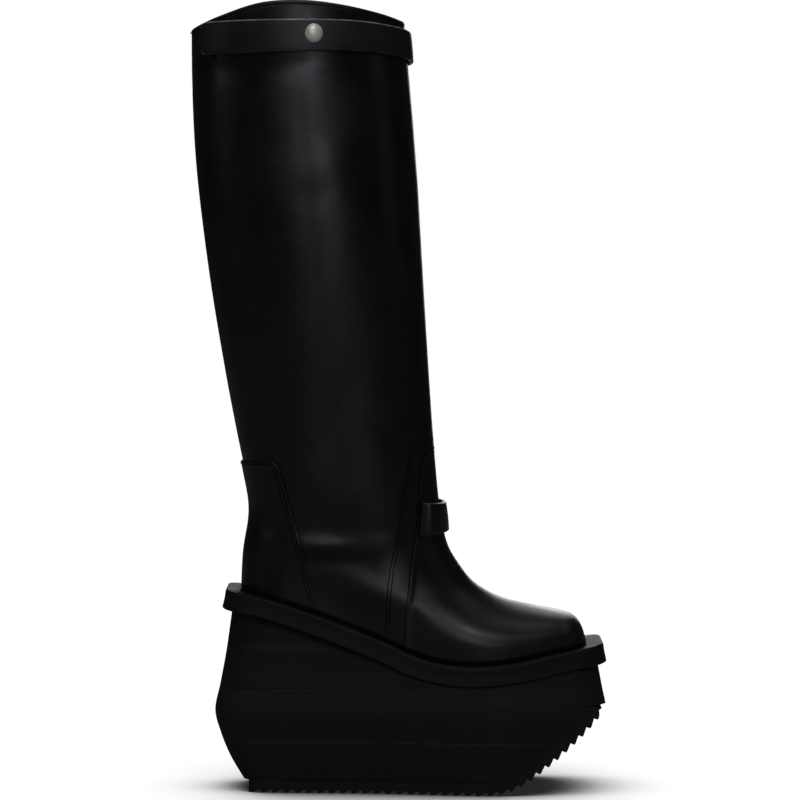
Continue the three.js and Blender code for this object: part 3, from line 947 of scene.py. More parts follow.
@dataclass(frozen=True)
class EdgeFinish(SurfaceFinish):
    """The cut edge of leather: fibres burnished and inked, paler where the ink is thin.

    Attributes:
        name: the material's name.
        dark: tone of the ink.
        light: tone where the ink is thin.
        roughness: of the burnished fibres.
        specular: strength of the reflections.
    """

    name: str = "cut_leather_edge"
    dark: float = 0.008
    light: float = 0.03
    roughness: float = 0.4
    specular: float = 0.5

    def draw(self, wires: Wiring, shader: bpy.types.Node, place: Socket) -> None:
        """Wires ink over fibres that run along the edge.

        Args:
            wires: the material's wiring.
            shader: its Principled shader.
            place: the object coordinates.
        """
        fibre = wires.noise(wires.scaled(place, (900, 900, 2600)), 1.0, 3.0, 0.6)
        ink = wires.blend(clouds(wires, place, 90.0), grey(self.dark, 0.02), grey(self.light, 0.04))
        rough = wires.stretch(fibre, 0.3, 0.7, self.roughness - 0.08, self.roughness + 0.12)
        wires.fill(shader, Base_Color=ink, Roughness=rough, Specular_IOR_Level=self.specular)
        self.emboss(wires, shader, fibre, 0.0001)


@dataclass(frozen=True)
class FoamFinish(SurfaceFinish):
    """Buffed black foam: matt, finely pitted, with paler rubs, and painted lighter towards the floor as
    light bounced up from the floor.

    Attributes:
        name: the material's name.
        dark: the darker tone of the foam.
        light: its lighter tone.
        rub_and_bounce_tone: tone of the rubs, and of the painted bounce light low down.
        floor_bounce_light: share of painted bounce light at the floor, fading upwards.
        roughness: of the foam.
        specular: strength of the reflections.
        cell: cells of the foam per metre.
    """

    name: str = "black_foam"
    dark: float = 0.0046
    light: float = 0.0078
    rub_and_bounce_tone: float = 0.017
    floor_bounce_light: float = 0.7
    roughness: float = 0.72
    specular: float = 0.27
    cell: float = 1900.0

    def draw(self, wires: Wiring, shader: bpy.types.Node, place: Socket) -> None:
        """Wires tone, rubs, painted floor bounce light and pits.

        Args:
            wires: the material's wiring.
            shader: its Principled shader.
            place: the object coordinates.
        """
        skin = wires.add("Group", {"node_tree": foam_skin()}, Vector=place, Cell=self.cell)
        body = wires.blend(clouds(wires, place, 24.0), grey(self.dark, 0.01), grey(self.light, 0.01))
        height = wires.add("SeparateXYZ", None, Vector=place).outputs["Z"]
        # The paler tone marks the rubs and, low down, painted light bounced up from the floor.
        worn = wires.maths("MAXIMUM", wires.maths("MULTIPLY", skin.outputs["Rubs"], 0.5),
                           wires.stretch(height, 0.01, 0.13, self.floor_bounce_light, 0.0))
        colour = wires.blend(worn, body, grey(self.rub_and_bounce_tone, 0.02))
        # Pits get half the dark tone: painted shade in the pits.
        wires.fill(shader, Base_Color=wires.blend(skin.outputs["Pits"], colour, grey(self.dark * 0.5)),
                   Roughness=wires.stretch(skin.outputs["Rubs"], 0, 1, self.roughness,
                                           self.roughness - 0.1),
                   Specular_IOR_Level=self.specular)
        self.emboss(wires, shader, skin.outputs["Height"], 0.00018)


@dataclass(frozen=True)
class NickelFinish(SurfaceFinish):
    """Satin nickel: short brush marks across a warm grey metal.

    Attributes:
        name: the material's name.
        colour: of the clean metal.
        roughness: of the satin face.
        metallic: share of metal, the rest being haze.
    """

    name: str = "satin_nickel"
    colour: Colour = (0.96, 0.94, 0.88, 1.0)
    roughness: float = 0.4
    metallic: float = 0.35

    def draw(self, wires: Wiring, shader: bpy.types.Node, place: Socket) -> None:
        """Wires smears and brush marks.

        Args:
            wires: the material's wiring.
            shader: its Principled shader.
            place: the object coordinates.
        """
        brush = wires.noise(wires.scaled(place, (400, 400, 6000)), 1.0, 2.0)
        smear = clouds(wires, place, 220.0)
        wires.fill(shader, Metallic=self.metallic,
                   Base_Color=wires.blend(smear, self.colour, (0.8, 0.78, 0.72, 1.0)),
                   Roughness=wires.stretch(brush, 0.25, 0.75, self.roughness - 0.06,
                                           self.roughness + 0.08))
        self.emboss(wires, shader, brush, 0.00002)


@dataclass(frozen=True)
class ThreadFinish(SurfaceFinish):
    """Waxed black polyester thread, its twist as fine slanted ridges.

    Attributes:
        name: the material's name.
        colour: tone of the ridges.
        roughness: of the ridges.
    """

    name: str = "waxed_thread"
    colour: float = 0.006
    roughness: float = 0.62

    def draw(self, wires: Wiring, shader: bpy.types.Node, place: Socket) -> None:
        """Wires the twist.

        Args:
            wires: the material's wiring.
            shader: its Principled shader.
            place: the object coordinates.
        """
        twist = wires.add("TexWave", {"bands_direction": "DIAGONAL"}, Vector=place, Scale=900.0,
                          Distortion=1.0)
        ridge = twist.outputs["Fac"]
        # Twist grooves get 0.6 of the thread's tone: painted shade in the grooves.
        wires.fill(shader, Base_Color=wires.blend(ridge, grey(self.colour * 0.6), grey(self.colour)),
                   Roughness=wires.stretch(ridge, 0, 1, self.roughness + 0.1, self.roughness))
        self.emboss(wires, shader, ridge, 0.00005)


class Finish(Enum):
    """The finishes of the boot's pieces."""

    CALF = LeatherFinish()
    STRAP = LeatherFinish("strap_calf", dark=0.0062, light=0.0105, polish=0.4, dull=0.54, lines=0.6)
    LINING = LeatherFinish("lining_leather", dark=0.006, light=0.010, polish=0.6, dull=0.75, lines=0.0)
    SOCK = LeatherFinish("sock_leather", dark=0.008, light=0.014, polish=0.5, dull=0.65, cell=900.0)
    EDGE = EdgeFinish()
    # The strap's upper edge and free end: a cut edge painted far lighter than ink, a painted highlight
    # where overhead light grazes the rounded edge.
    STRAP_EDGE_HIGHLIGHT = EdgeFinish("strap_edge_painted_highlight", dark=0.16, light=0.4, roughness=0.3)
    PANEL_EDGE = EdgeFinish("panel_edge", dark=0.004, light=0.014, roughness=0.45)
    # FOAM and RUBBER are painted lighter near the floor as bounced floor light; SLAB and GLUE are not.
    FOAM = FoamFinish()
    SLAB = FoamFinish("slab_foam_skin", dark=0.0036, light=0.006, rub_and_bounce_tone=0.009, floor_bounce_light=0.0,
                      roughness=0.6, specular=0.3)
    GLUE = FoamFinish("glue_line", dark=0.016, light=0.042, rub_and_bounce_tone=0.05, floor_bounce_light=0.0, roughness=0.5)
    RUBBER = FoamFinish("cut_rubber", dark=0.0034, light=0.006, rub_and_bounce_tone=0.014, floor_bounce_light=0.7,
                        roughness=0.75, specular=0.25, cell=1200.0)
    NICKEL = NickelFinish()
    THREAD = ThreadFinish()
    # Near-black lens between stitches: painted shade in the dint at each needle puncture.
    HOLE_SHADE = EdgeFinish("needle_hole", dark=0.0003, light=0.001, roughness=0.9, specular=0.08)

    def material(self) -> bpy.types.Material:
        """Builds, or finds, this finish's material."""
        return self.value.material()


def dress(piece: Piece, slot: str, *finishes: Finish) -> Piece:
    """Gives a piece its finishes, lets it ride on the boot's one body and reports it.

    Args:
        piece: the piece.
        slot: not used.
        *finishes: one finish for each material number of its faces.

    Returns:
        The piece.
    """
    faces = piece.data.polygons
    marks = np.zeros(len(faces), np.int32)
    faces.foreach_get("material_index", marks)
    piece.data.materials.clear()
    for finish in finishes:
        piece.data.materials.append(finish.material())
    faces.foreach_set("material_index", np.minimum(marks, len(finishes) - 1).astype(np.int32))
    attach(piece, "root")
    LOG.info("%s: %d faces, %s", piece.name, len(faces), ", ".join(f.name for f in finishes))
    return piece


# ---- Stitches ----
@dataclass(frozen=True)
class Seam:
    """A row of lockstitches, each a short thread that dips into a needle puncture at both ends.

    Attributes:
        pitch: from one needle puncture to the next.
        length: thread that shows of each stitch.
        thickness: of the thread.
        slant: sideways lean of each stitch, as a share of its length.
        hole: width of the dark lens between two stitches, painted shade for the dint there.
    """

    pitch: float = 2.15
    length: float = 1.3
    thickness: float = 0.4
    slant: float = 0.06
    hole: float = 1.05

    def one(self) -> tuple[Array, Array, Array, Array]:
        """Makes one stitch and the dark lens after it.

        The thread is rings at turns t of a half circle, closed by a point at either end: a ring
        lies at -cos(t) half a length along; its radius and its rise out of the leather follow
        sin(t), the radius to the power 0.6. After it lies a long flat lens let into the leather and
        finished near-black, painted shade for the dint that the thread draws from one stitch to the
        next.

        Returns:
            Points as (along, sideways, up), the thread's quads and end triangles, the dark lens's
            triangles.
        """
        turns = np.pi * np.array([0.12, 0.34, 0.66, 0.88])[:, None]
        around = 2 * np.pi * np.arange(6)[None] / 6
        radius = self.thickness / 2 * np.sin(turns) ** 0.6
        along = -np.cos(turns) * self.length / 2 + 0 * around
        up = radius * np.sin(around) + 0.3 * self.thickness * np.sin(turns)
        rings = np.stack([along, radius * np.cos(around) + self.slant * along, up], -1)
        tips = np.array([[-0.5, 0, -0.1], [0.5, 0, -0.1]]) * self.length
        i = np.arange(6)
        following = (i + 1) % 6
        ends = np.concatenate([np.stack([following, i, i * 0 + 24], -1),
                               np.stack([18 + i, 18 + following, i * 0 + 25], -1)])
        # The lens after each stitch, finished near-black: painted shade for the dint.
        rim = np.stack([0.47 * self.pitch * np.cos(around[0]), self.hole / 2 * np.sin(around[0]),
                        0 * around[0]], -1)
        lens = np.concatenate([rim, [[0, 0, 0.02], [0, 0, -0.3]]]) + [self.pitch / 2, 0, 0.14]
        hole = 26 + np.concatenate([np.stack([following, i, i * 0 + 7], -1),
                                    np.stack([i, following, i * 0 + 6], -1)])
        points = np.concatenate([rings.reshape(-1, 3), tips, lens])
        return points, quads(4, 6, close_columns=True), ends, hole

    def sew(self, name: str, lines: Sequence[SurfaceLine]) -> Piece:
        """Sews a row of stitches along each line: the stitch's shape times each step's directions.

        Args:
            name: the piece's name.
            lines: the rows on the leather.

        Returns:
            All the stitches as one object.
        """
        shape, *groups = self.one()
        parts = []
        for line in (line.even(self.pitch) for line in lines):
            axes = np.stack(line.axes(), 1)
            parts.append(line.points[:, None] + np.einsum("pk,nkc->npc", shape, axes))
        stitches = np.concatenate(parts)
        offset = (np.arange(len(stitches)) * len(shape))[:, None, None]
        faces = [(group[None] + offset).reshape(-1, group.shape[1]) for group in groups]
        return shell(name, stitches, faces, (0, 0, 1))


# ---- The upper ----
@dataclass(frozen=True)
class Fold:
    """One soft ridge (height above 0) or trough (below 0) in the leather.

    Attributes:
        x: middle of the fold in side view.
        z: its height.
        tilt: direction of its line, in degrees from +X towards +Z.
        length: half of its length, to where it has nearly faded.
        width: half of its width.
        height: how far it stands out.
        side: the side it lies on.
        sweep: how far its ends bend towards +Z across its line.
    """

    x: float
    z: float
    tilt: float
    length: float
    width: float
    height: float
    side: Side = Side.OUTER
    sweep: float = 0.0

    def lift(self, x: Array, z: Array, side: Array) -> Array:
        """Height of the fold: height exp(-(across/width)^2) exp(-1.5 (along/length)^2).

        Args:
            x, z: places in side view.
            side: -1 outside, 1 inside.

        Returns:
            How far the leather stands out at each place.
        """
        turn = math.radians(self.tilt)
        along = ((x - self.x) * math.cos(turn) + (z - self.z) * math.sin(turn)) / self.length
        across_it = -(x - self.x) * math.sin(turn) + (z - self.z) * math.cos(turn)
        across_it = (across_it - self.sweep * along ** 2) / self.width
        here = np.where(np.asarray(side) * self.side.value > 0, self.height, 0.0)
        return here * np.exp(-across_it ** 2 - 1.5 * along ** 2)


@dataclass(frozen=True)
class Upper:
    """The leather upper with its folds, the vamp let in under the quarters, and its lining.

    Attributes:
        form: the boot's outlines.
        rows: steps of the outer face from slab to collar.
        per_side: points along one side of a ring.
        lining_rows: steps of the inner face.
        edge_steps: steps of the rounded collar edge.
        fullness: how far the worn leather stands off the last along the front.
        vamp_drop: how much lower the vamp lies than the quarters' edge.
        instep: how far the vamp swells along its middle line.
        instep_reach: distance from that line at which the swell has mostly faded.
        fullness_fade: distances from the front over which the fullness fades.
        vamp_step: distances past the quarter's edge over which the vamp drops.
        edge_row: distance of the single row of stitches from the quarter's edge.
        stay_row: distance of each row of the double seam from its middle.
        quarter_edge: cut edge of the quarter over the vamp in side view, from the slab up to the
            middle of the shin; the same on both sides.
        stay_line: middle of the double row that holds the stay behind that edge.
        folds: the main creases.
    """

    form: BootForm = FORM
    rows: int = 236
    per_side: int = 122
    lining_rows: int = 70
    edge_steps: int = 6
    fullness: float = 0.6
    vamp_drop: float = 0.8
    instep: float = 0.75
    instep_reach: float = 9.0
    fullness_fade: tuple[float, float] = (12.0, 70.0)
    vamp_step: tuple[float, float] = (-0.3, 3.0)
    edge_row: float = 1.7
    stay_row: float = 1.25
    quarter_edge: Outline = Outline((
        (6, 97), (6, 109.3), (6.8, 127), (8.6, 148.2), (10.4, 165.9), (12.9, 183.5), (14.4, 197.8),
        (15.3, 213), (16.6, 230), (18.6, 240.6), (21.4, 245.6), (25.7, 246.9)), inside=-1)
    stay_line: Outline = Outline((
        (-8.7, 109), (-8.3, 117), (-6.9, 141.7), (-4.8, 163.1), (-1.2, 181), (1.7, 198.9), (3.2, 213.1),
        (6.8, 234.4), (10.4, 251.5)), inside=-1)
    folds: tuple[Fold, ...] = (
        Fold(-59, 179.5, -3, 36, 8, 3.2, sweep=2),
        Fold(-48, 170, -2, 32, 6, -0.7, sweep=2),
        Fold(-20, 147, -20, 42, 13, 2.8),
        Fold(4, 207, 28, 18, 7, 0.6),
        Fold(-8, 195, 24, 22, 7, -0.5),
        Fold(-98, 523, 3, 84, 9, -1.3),
        Fold(-138, 176, 30, 24, 9, 0.5),
        Fold(-66, 432, 12, 26, 12, -0.3),
        Fold(-62, 448, 8, 30, 12, 0.3),
        Fold(-58, 352, 70, 44, 12, 0.5),
        Fold(-34, 300, 60, 50, 16, -0.6),
        Fold(-96, 330, 62, 60, 16, 0.5),
        Fold(-92, 262, 74, 40, 10, -0.4),
        Fold(-20, 180, 4, 40, 7, 0.9, Side.INNER),
        Fold(-40, 168, -4, 44, 6, -0.9, Side.INNER),
        Fold(-56, 300, 66, 60, 16, 0.6, Side.INNER),
    )

    def relief(self, x: Array, z: Array, side: Array) -> Array:
        """How far the worn leather stands off the plain form.

        Its fullness and its folds, less the drop of the vamp, and the swell of the instep:
        swell exp(-(distance to the front outline / reach)^2) on the vamp alone.

        Args:
            x, z: places in side view.
            side: -1 outside, 1 inside.

        Returns:
            The stand-off at each place.
        """
        folds = sum(fold.lift(x, z, side) for fold in self.folds)
        vamp = ease(self.quarter_edge.nearest(x, z)[0], *self.vamp_step)
        ahead = self.form.front.nearest(x, z)[0]
        full = self.fullness * (1 - ease(ahead, *self.fullness_fade))
        swell = self.instep * np.exp(-(ahead / self.instep_reach) ** 2)
        return full + folds + vamp * (swell - self.vamp_drop)

    def skin(self, x: Array, z: Array, side: Side, lift: float = 0.0) -> SurfaceLine:
        """Places on the leather's outer face.

        Args:
            x, z: places in side view, within the outlines.
            side: which side of the boot.
            lift: how far outside the leather.

        Returns:
            The places as a line on the surface.
        """
        sign = np.full(np.shape(x), float(side.value))
        out = self.form.facing(x, z, sign)
        place = np.stack([x, sign * self.form.half_width(x, z, sign), z], -1)
        return SurfaceLine(place + out * (self.relief(x, z, sign) + lift)[..., None], out)

    def build(self) -> Piece:
        """Builds the upper as one closed shell: outer face, round collar edge, lining, feather edge.

        Returns:
            The upper, standing for the plain one.
        """
        form, radius = self.form, self.form.wall / 2
        outer, out, side = form.grid(np.linspace(0, 1, self.rows + 1), self.per_side)
        relief = self.relief(outer[..., 0], outer[..., 2], side)
        outer = outer + out * relief[..., None]
        outer[0, :, 2] = form.slab_top(outer[0, :, 0]) + form.gap
        rim, rim_out = outer[-1].copy(), out[-1]
        turns = np.linspace(0, np.pi, self.edge_steps + 1)[:, None, None]
        edge = rim[None] - rim_out[None] * radius * (1 - np.cos(turns))
        edge[..., 2] += radius * (np.sin(turns[..., 0]) - 1)
        inner, inner_out, inner_side = form.grid(np.linspace(0, 1, self.lining_rows + 1), self.per_side)
        worn = sum(fold.lift(inner[..., 0], inner[..., 2], inner_side) for fold in self.folds)
        inner = inner + inner_out * (worn - form.wall)[..., None]
        inner[0, :, 2] = form.slab_top(inner[0, :, 0]) + form.gap
        rings = np.concatenate([outer[:-1], edge, inner[-2::-1]])
        faces = quads(*rings.shape[:2], close_rows=True, close_columns=True)
        row = np.arange(len(faces)) // rings.shape[1]
        marks = np.where(row < self.rows - 1, 0, np.where(row < self.rows + self.edge_steps, 1, 2))
        piece = shell("upper_shell", rings, [faces], [marks])
        return dress(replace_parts(piece, "upper"), "upper_leather", Finish.CALF, Finish.PANEL_EDGE,
                     Finish.LINING)

    def edge_line(self, side: Side) -> SurfaceLine:
        """Walks the quarter's cut edge from the slab to the middle of the shin.

        Args:
            side: which side of the boot.

        Returns:
            The edge on the leather, before its drop to the vamp.
        """
        share = 1 - (1 - np.linspace(0, 1, 400)) ** 2
        x, z = np.moveaxis(self.quarter_edge.at(share), -1, 0)
        keep = z > self.form.slab_top(x) + 1.2
        x, z = x[keep], z[keep]
        x = np.minimum(x, self.form.front.x_at(z) - 0.01)
        return self.skin(x, z, side)

    def whole_edge(self) -> SurfaceLine:
        """Joins the edge of both sides into one line, up the outer side and down the inner side.

        Returns:
            The line in even steps.
        """
        outer, inner = self.edge_line(Side.OUTER), self.edge_line(Side.INNER)
        return SurfaceLine(np.concatenate([outer.points, inner.points[-2::-1]]),
                           np.concatenate([outer.out, inner.out[-2::-1]])).even(1.0)

    def trims(self) -> list[Piece]:
        """Builds the cut edge of the quarters and every row of stitching on the plain leather.

        Returns:
            The pieces.
        """
        edge = self.whole_edge()
        lip = ((-0.7, -0.9), (-0.7, -0.4), (-0.5, -0.08), (-0.2, 0.05), (0.2, 0.03), (0.6, -0.12),
               (0.5, -0.5))
        pieces = [dress(edge.bead("quarter_cut_edge", lip), "upper_leather", Finish.PANEL_EDGE)]
        rows = [edge.beside(self.edge_row, 0.1)]
        for side in Side:
            x, z = np.moveaxis(self.stay_line.at(np.linspace(0, 1, 300)), -1, 0)
            keep = z > self.form.slab_top(x) + 2
            middle = self.skin(x[keep], z[keep], side).even(1.0)
            rows += [middle.beside(self.stay_row), middle.beside(-self.stay_row)]
        for seam in (Seam().sew("quarter_stitches", rows),
                     Seam(1.9, 1.35, 0.45).sew("collar_stitches", [self.collar_line()]),
                     Seam().sew("back_seam_stitches", self.back_lines())):
            pieces.append(dress(seam, "upper_leather", Finish.THREAD, Finish.HOLE_SHADE))
        return pieces

    def collar_line(self, below: float = 2.4) -> SurfaceLine:
        """Walks round the shaft a little below the collar edge.

        Args:
            below: distance below it.

        Returns:
            The closed line.
        """
        rings, out, _ = self.form.grid(np.array([0.99, 1.0]), self.per_side)
        line = rings[1] + out[1] * (self.fullness + 0.05)
        line[:, 2] -= below
        return SurfaceLine(line, out[1], closed=True)

    def back_lines(self, beside: float = 2.4, low: float = 243.0,
                   high: float = 549.0) -> list[SurfaceLine]:
        """Walks up the back of the shaft on both sides of its seam.

        The back is an oval of depth a and half-width b: a line b' beside its middle lies
        a b'^2 / (2 b^2) further forward.

        Args:
            beside: distance of each line from the seam.
            low: height at which the lines start.
            high: height at which they end.

        Returns:
            The two lines.
        """
        oval_depth, oval_half = 76, 55
        z = np.linspace(low, high, 200)
        x = self.form.back.x_at(z) + oval_depth * beside ** 2 / (2 * oval_half ** 2)
        return [self.skin(x, z, side, -0.2) for side in Side]


# ---- Heel counter ----
@dataclass(frozen=True)
class HeelCounter:
    """The counter wrapped round the heel: a slanted cut edge on each side, a straight top.

    Attributes:
        upper: the upper it lies on.
        thickness: of the counter.
        edge_rows: x of the slanted edge by height.
        top_rows: height of the top edge by x.
        corner: radius between the two edges.
        thinning: width over which the counter thins to its cut edge.
        low: height at which the stitches start.
        high: height of the top edge at the corner, for the stitches.
        rows: steps from the slab to the top edge.
        half: steps from the back to the slanted edge.
    """

    upper: Upper
    thickness: float = 1.3
    edge_rows: tuple = ((110, -54), (129, -57.6), (141.2, -60.3), (159.2, -65.3), (184.4, -71.1),
                        (209.6, -78.3), (227.6, -83.3), (241, -87.2))
    top_rows: tuple = ((-160, 238.4), (-113.7, 239.8), (-92.5, 241), (-80, 241))
    corner: float = 6.0
    thinning: float = 0.8
    low: float = 132.0
    high: float = 240.9
    rows: int = 84
    half: int = 56

    def build(self) -> Piece:
        """Builds the counter as a shell on the upper, thinning towards the cut edge.

        Its columns run from the outer edge round the back to the inner edge; a row is a level line
        between slab and top edge, the top edge falling away at the corner.

        Returns:
            The counter.
        """
        form = self.upper.form
        share = np.unique(np.concatenate([1 - np.cos(np.linspace(0, 1, self.half) * np.pi / 2),
                                          1 - np.array([0.004, 0.012, 0.026, 0.05])]))
        signed = np.concatenate([-share[::-1], share[1:]])[None]
        level = np.unique(np.concatenate([np.linspace(0, 1, self.rows),
                                          1 - np.array([0.002, 0.006, 0.014])]))[:, None]
        z = np.full((level.shape[0], signed.shape[1]), 200.0)
        for _ in range(SETTLING_ROUNDS):
            back, edge = form.back.x_at(z), read(self.edge_rows, z)
            x = mix(back, edge, np.abs(signed))
            top = read(self.top_rows, x)
            top = top - corner_loss(edge - x, self.corner)
            z = mix(form.slab_top(x) + form.gap, top, level)
        side = np.where(signed < 0, -1.0, 1.0) + 0 * z
        points = np.stack([x, side * form.half_width(x, z, side), z], -1)
        points[:, signed[0] == 0, 1] = 0
        out = unit(np.cross(np.gradient(points, axis=0), np.gradient(points, axis=1)))
        centre = np.array([-70.0, 0.0, 0.0])
        out *= np.sign(((points - centre) * out)[..., :2].sum(-1, keepdims=True))
        relief = self.upper.relief(x, z, side)
        from_edge = np.minimum(edge - x, top - z)
        thick = self.thickness * (0.5 + 0.5 * cap(from_edge, self.thinning))
        outside = points + out * (relief + form.gap + thick)[..., None]
        inside = points + out * (relief + 0.05)[..., None]
        piece = two_skins("heel_counter_shell", outside, inside)
        return dress(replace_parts(piece, "heel_counter"), "upper_leather", Finish.CALF)

    def inset_line(self, inset: float, side: Side, top: bool) -> SurfaceLine:
        """Walks parallel to the cut edge: up the slanted edge, or round the corner and along the top.

        Args:
            inset: distance from the cut edge.
            side: which side of the boot.
            top: walk on round the corner to the back of the heel.

        Returns:
            The line on the counter's outer face.
        """
        form = self.upper.form
        high = self.high - self.corner
        z = np.linspace(self.low, high, 120)
        x = read(self.edge_rows, z) - inset
        if top:
            turn = np.linspace(0, np.pi / 2, 12)[1:]
            centre = read(self.edge_rows, high) - self.corner
            reach = self.corner - inset
            x = np.concatenate([x, centre + reach * np.cos(turn)])
            z = np.concatenate([z, high + reach * np.sin(turn)])
            back = form.back.x_at(239)
            share = bunched(np.linspace(0, 1, 60)[1:])
            run = mix(x[-1], back + 0.05, share)
            x = np.concatenate([x, run])
            z = np.concatenate([z, read(self.top_rows, run) - inset])
        return self.upper.skin(x, z, side, form.gap + self.thickness)

    def stitches(self) -> Piece:
        """Sews the double row up each slanted edge, the outer row going on along the top.

        Returns:
            The stitches.
        """
        rows = []
        for side in Side:
            rows += [self.inset_line(1.9, side, True), self.inset_line(4.3, side, False)]
        return dress(Seam().sew("counter_stitches", rows), "upper_leather", Finish.THREAD, Finish.HOLE_SHADE)


# ---- Straps ----
FACE_STEPS = 8
EDGE_STEPS = 9


def strap_section(half: Array, thickness: float, radius: float, crown: float) -> tuple[Array, Array]:
    """Goes once round a strap's section: outer face, upper edge, inner face, lower edge.

    Args:
        half: half-width of the strap at each station.
        thickness: of the strap.
        radius: of its rounded edges.
        crown: how much the outer face swells in the middle.

    Returns:
        Height from the middle line and stand-off from the inner face, stations by points.
    """
    arc = np.radians(np.linspace(0, 90, (EDGE_STEPS + 1) // 2))
    face = np.linspace(-1, 1, FACE_STEPS + 1)
    r = np.minimum(radius, half * 0.999)[:, None]
    flat = half[:, None] - r
    outer = (flat * face, thickness + crown * (1 - face ** 2) + 0 * flat)
    up = (flat + r * np.sin(arc), thickness - r + r * np.cos(arc))
    up_in = (flat + r * np.cos(arc), r - r * np.sin(arc))
    inner = (flat * face[::-1], 0 * flat + 0 * face)
    down_in = (-flat - r * np.sin(arc), r - r * np.cos(arc))
    down = (-flat - r * np.cos(arc), thickness - r + r * np.sin(arc))
    parts = [outer, (up[0][:, 1:], up[1][:, 1:]), (up_in[0], up_in[1]),
             (inner[0][:, 1:], inner[1][:, 1:] + 0 * flat), (down_in[0][:, 1:], down_in[1][:, 1:]),
             (down[0][:, :-1], down[1][:, :-1])]
    return np.concatenate([p[0] for p in parts], 1), np.concatenate([p[1] for p in parts], 1)


def broad_faces(stations: int, size: int) -> Array:
    """Tells for each wall face of a strap whether it lies on a broad side and not on an edge.

    Args:
        stations: number of stations along the strap.
        size: points of its section.

    Returns:
        True or False for each face, station by station.
    """
    column = np.arange((stations - 1) * size) % size
    return column % (FACE_STEPS + EDGE_STEPS) < FACE_STEPS


@dataclass(frozen=True)
class TopStrap:
    """The strap round the collar, snapped at the outer side, its free end towards the back.

    Attributes:
        form: the boot's outlines.
        thickness: of the strap.
        edge_radius: of its rounded long edges.
        corner: radius of the free end's corners.
        per_degree: length of a degree round the collar.
        highlighted_end_stations: stations at the free end whose both edges carry the painted edge
            highlight.
        crown: how much its outer face swells.
        course: angle round the collar, height of the top edge, stand-off of the inner face and width.
    """

    form: BootForm = FORM
    thickness: float = 3.0
    edge_radius: float = 0.85
    corner: float = 8.0
    per_degree: float = 1.17
    highlighted_end_stations: int = 11
    crown: float = 0.25
    course: tuple = ((-150, 556.1, 1.4, 23.2), (-122, 556.9, 1, 23.8), (-97, 557.3, 1, 23.4),
                     (-61, 556.9, 1.4, 22), (-30, 553.6, 1.7, 21.4), (0, 550.2, 1.8, 21.4),
                     (30, 547.6, 1.6, 21.6), (70, 545.6, 1.2, 22), (110, 545.4, 1, 22),
                     (146, 545.8, 1, 22))

    def build(self) -> Piece:
        """Builds the strap: stations round the collar, bunched at the free end's round corners.

        Its broad faces are leather; its upper edge and its free end carry a cut edge painted far lighter
        than ink, a painted highlight, and its lower edge the dark ink of a cut edge.

        Returns:
            The strap.
        """
        first, last = self.course[0][0], self.course[-1][0]
        round_end = self.corner * (1 - np.cos(np.linspace(0.06, 1, 14) * np.pi / 2)) / self.per_degree
        angles = np.concatenate([first + round_end, np.linspace(first + round_end[-1] + 1, last, 150)])
        half = read(self.course, angles, 3) / 2
        middle = read(self.course, angles) - half
        halves = half - corner_loss((angles - first) * self.per_degree, self.corner)
        up, off = strap_section(halves, self.thickness, self.edge_radius, self.crown)
        stand = read(self.course, angles, 2)[:, None]
        stations = self.form.around_shaft(angles[:, None], middle[:, None] + up, stand + off)
        size = stations.shape[1]
        column = np.arange((len(angles) - 1) * size) % size
        station = np.arange((len(angles) - 1) * size) // size
        # Upper edge and free end take the painted highlight finish; the lower edge keeps dark ink.
        highlighted = (column < FACE_STEPS + EDGE_STEPS) | (station < self.highlighted_end_stations)
        marks = np.where(broad_faces(len(angles), size), 0, np.where(highlighted, 1, 2))
        piece = swept("top_strap_leather", stations, marks=[marks, 1])
        return dress(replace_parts(piece, "top_strap"), "strap_leather", Finish.STRAP, Finish.STRAP_EDGE_HIGHLIGHT,
                     Finish.EDGE)

    def anchor_stitches(self) -> Piece:
        """Sews the small bar of thread that shows on the shaft under the strap's free end.

        Returns:
            The stitches.
        """
        z = np.array([533.6, 531.8, 530.4])
        lines = []
        for angle in (-140.5, -138.8):
            points = self.form.around_shaft(angle + 0 * z, z, 0.1 + 0 * z)
            centre = self.form.around_shaft(angle + 0 * z, z, -30 + 0 * z)
            lines.append(SurfaceLine(points, unit(points - centre)))
        seam = Seam(1.4, 1.5, 0.6, 0.35).sew("strap_bartack", lines)
        return dress(seam, "strap_leather", Finish.THREAD, Finish.HOLE_SHADE)


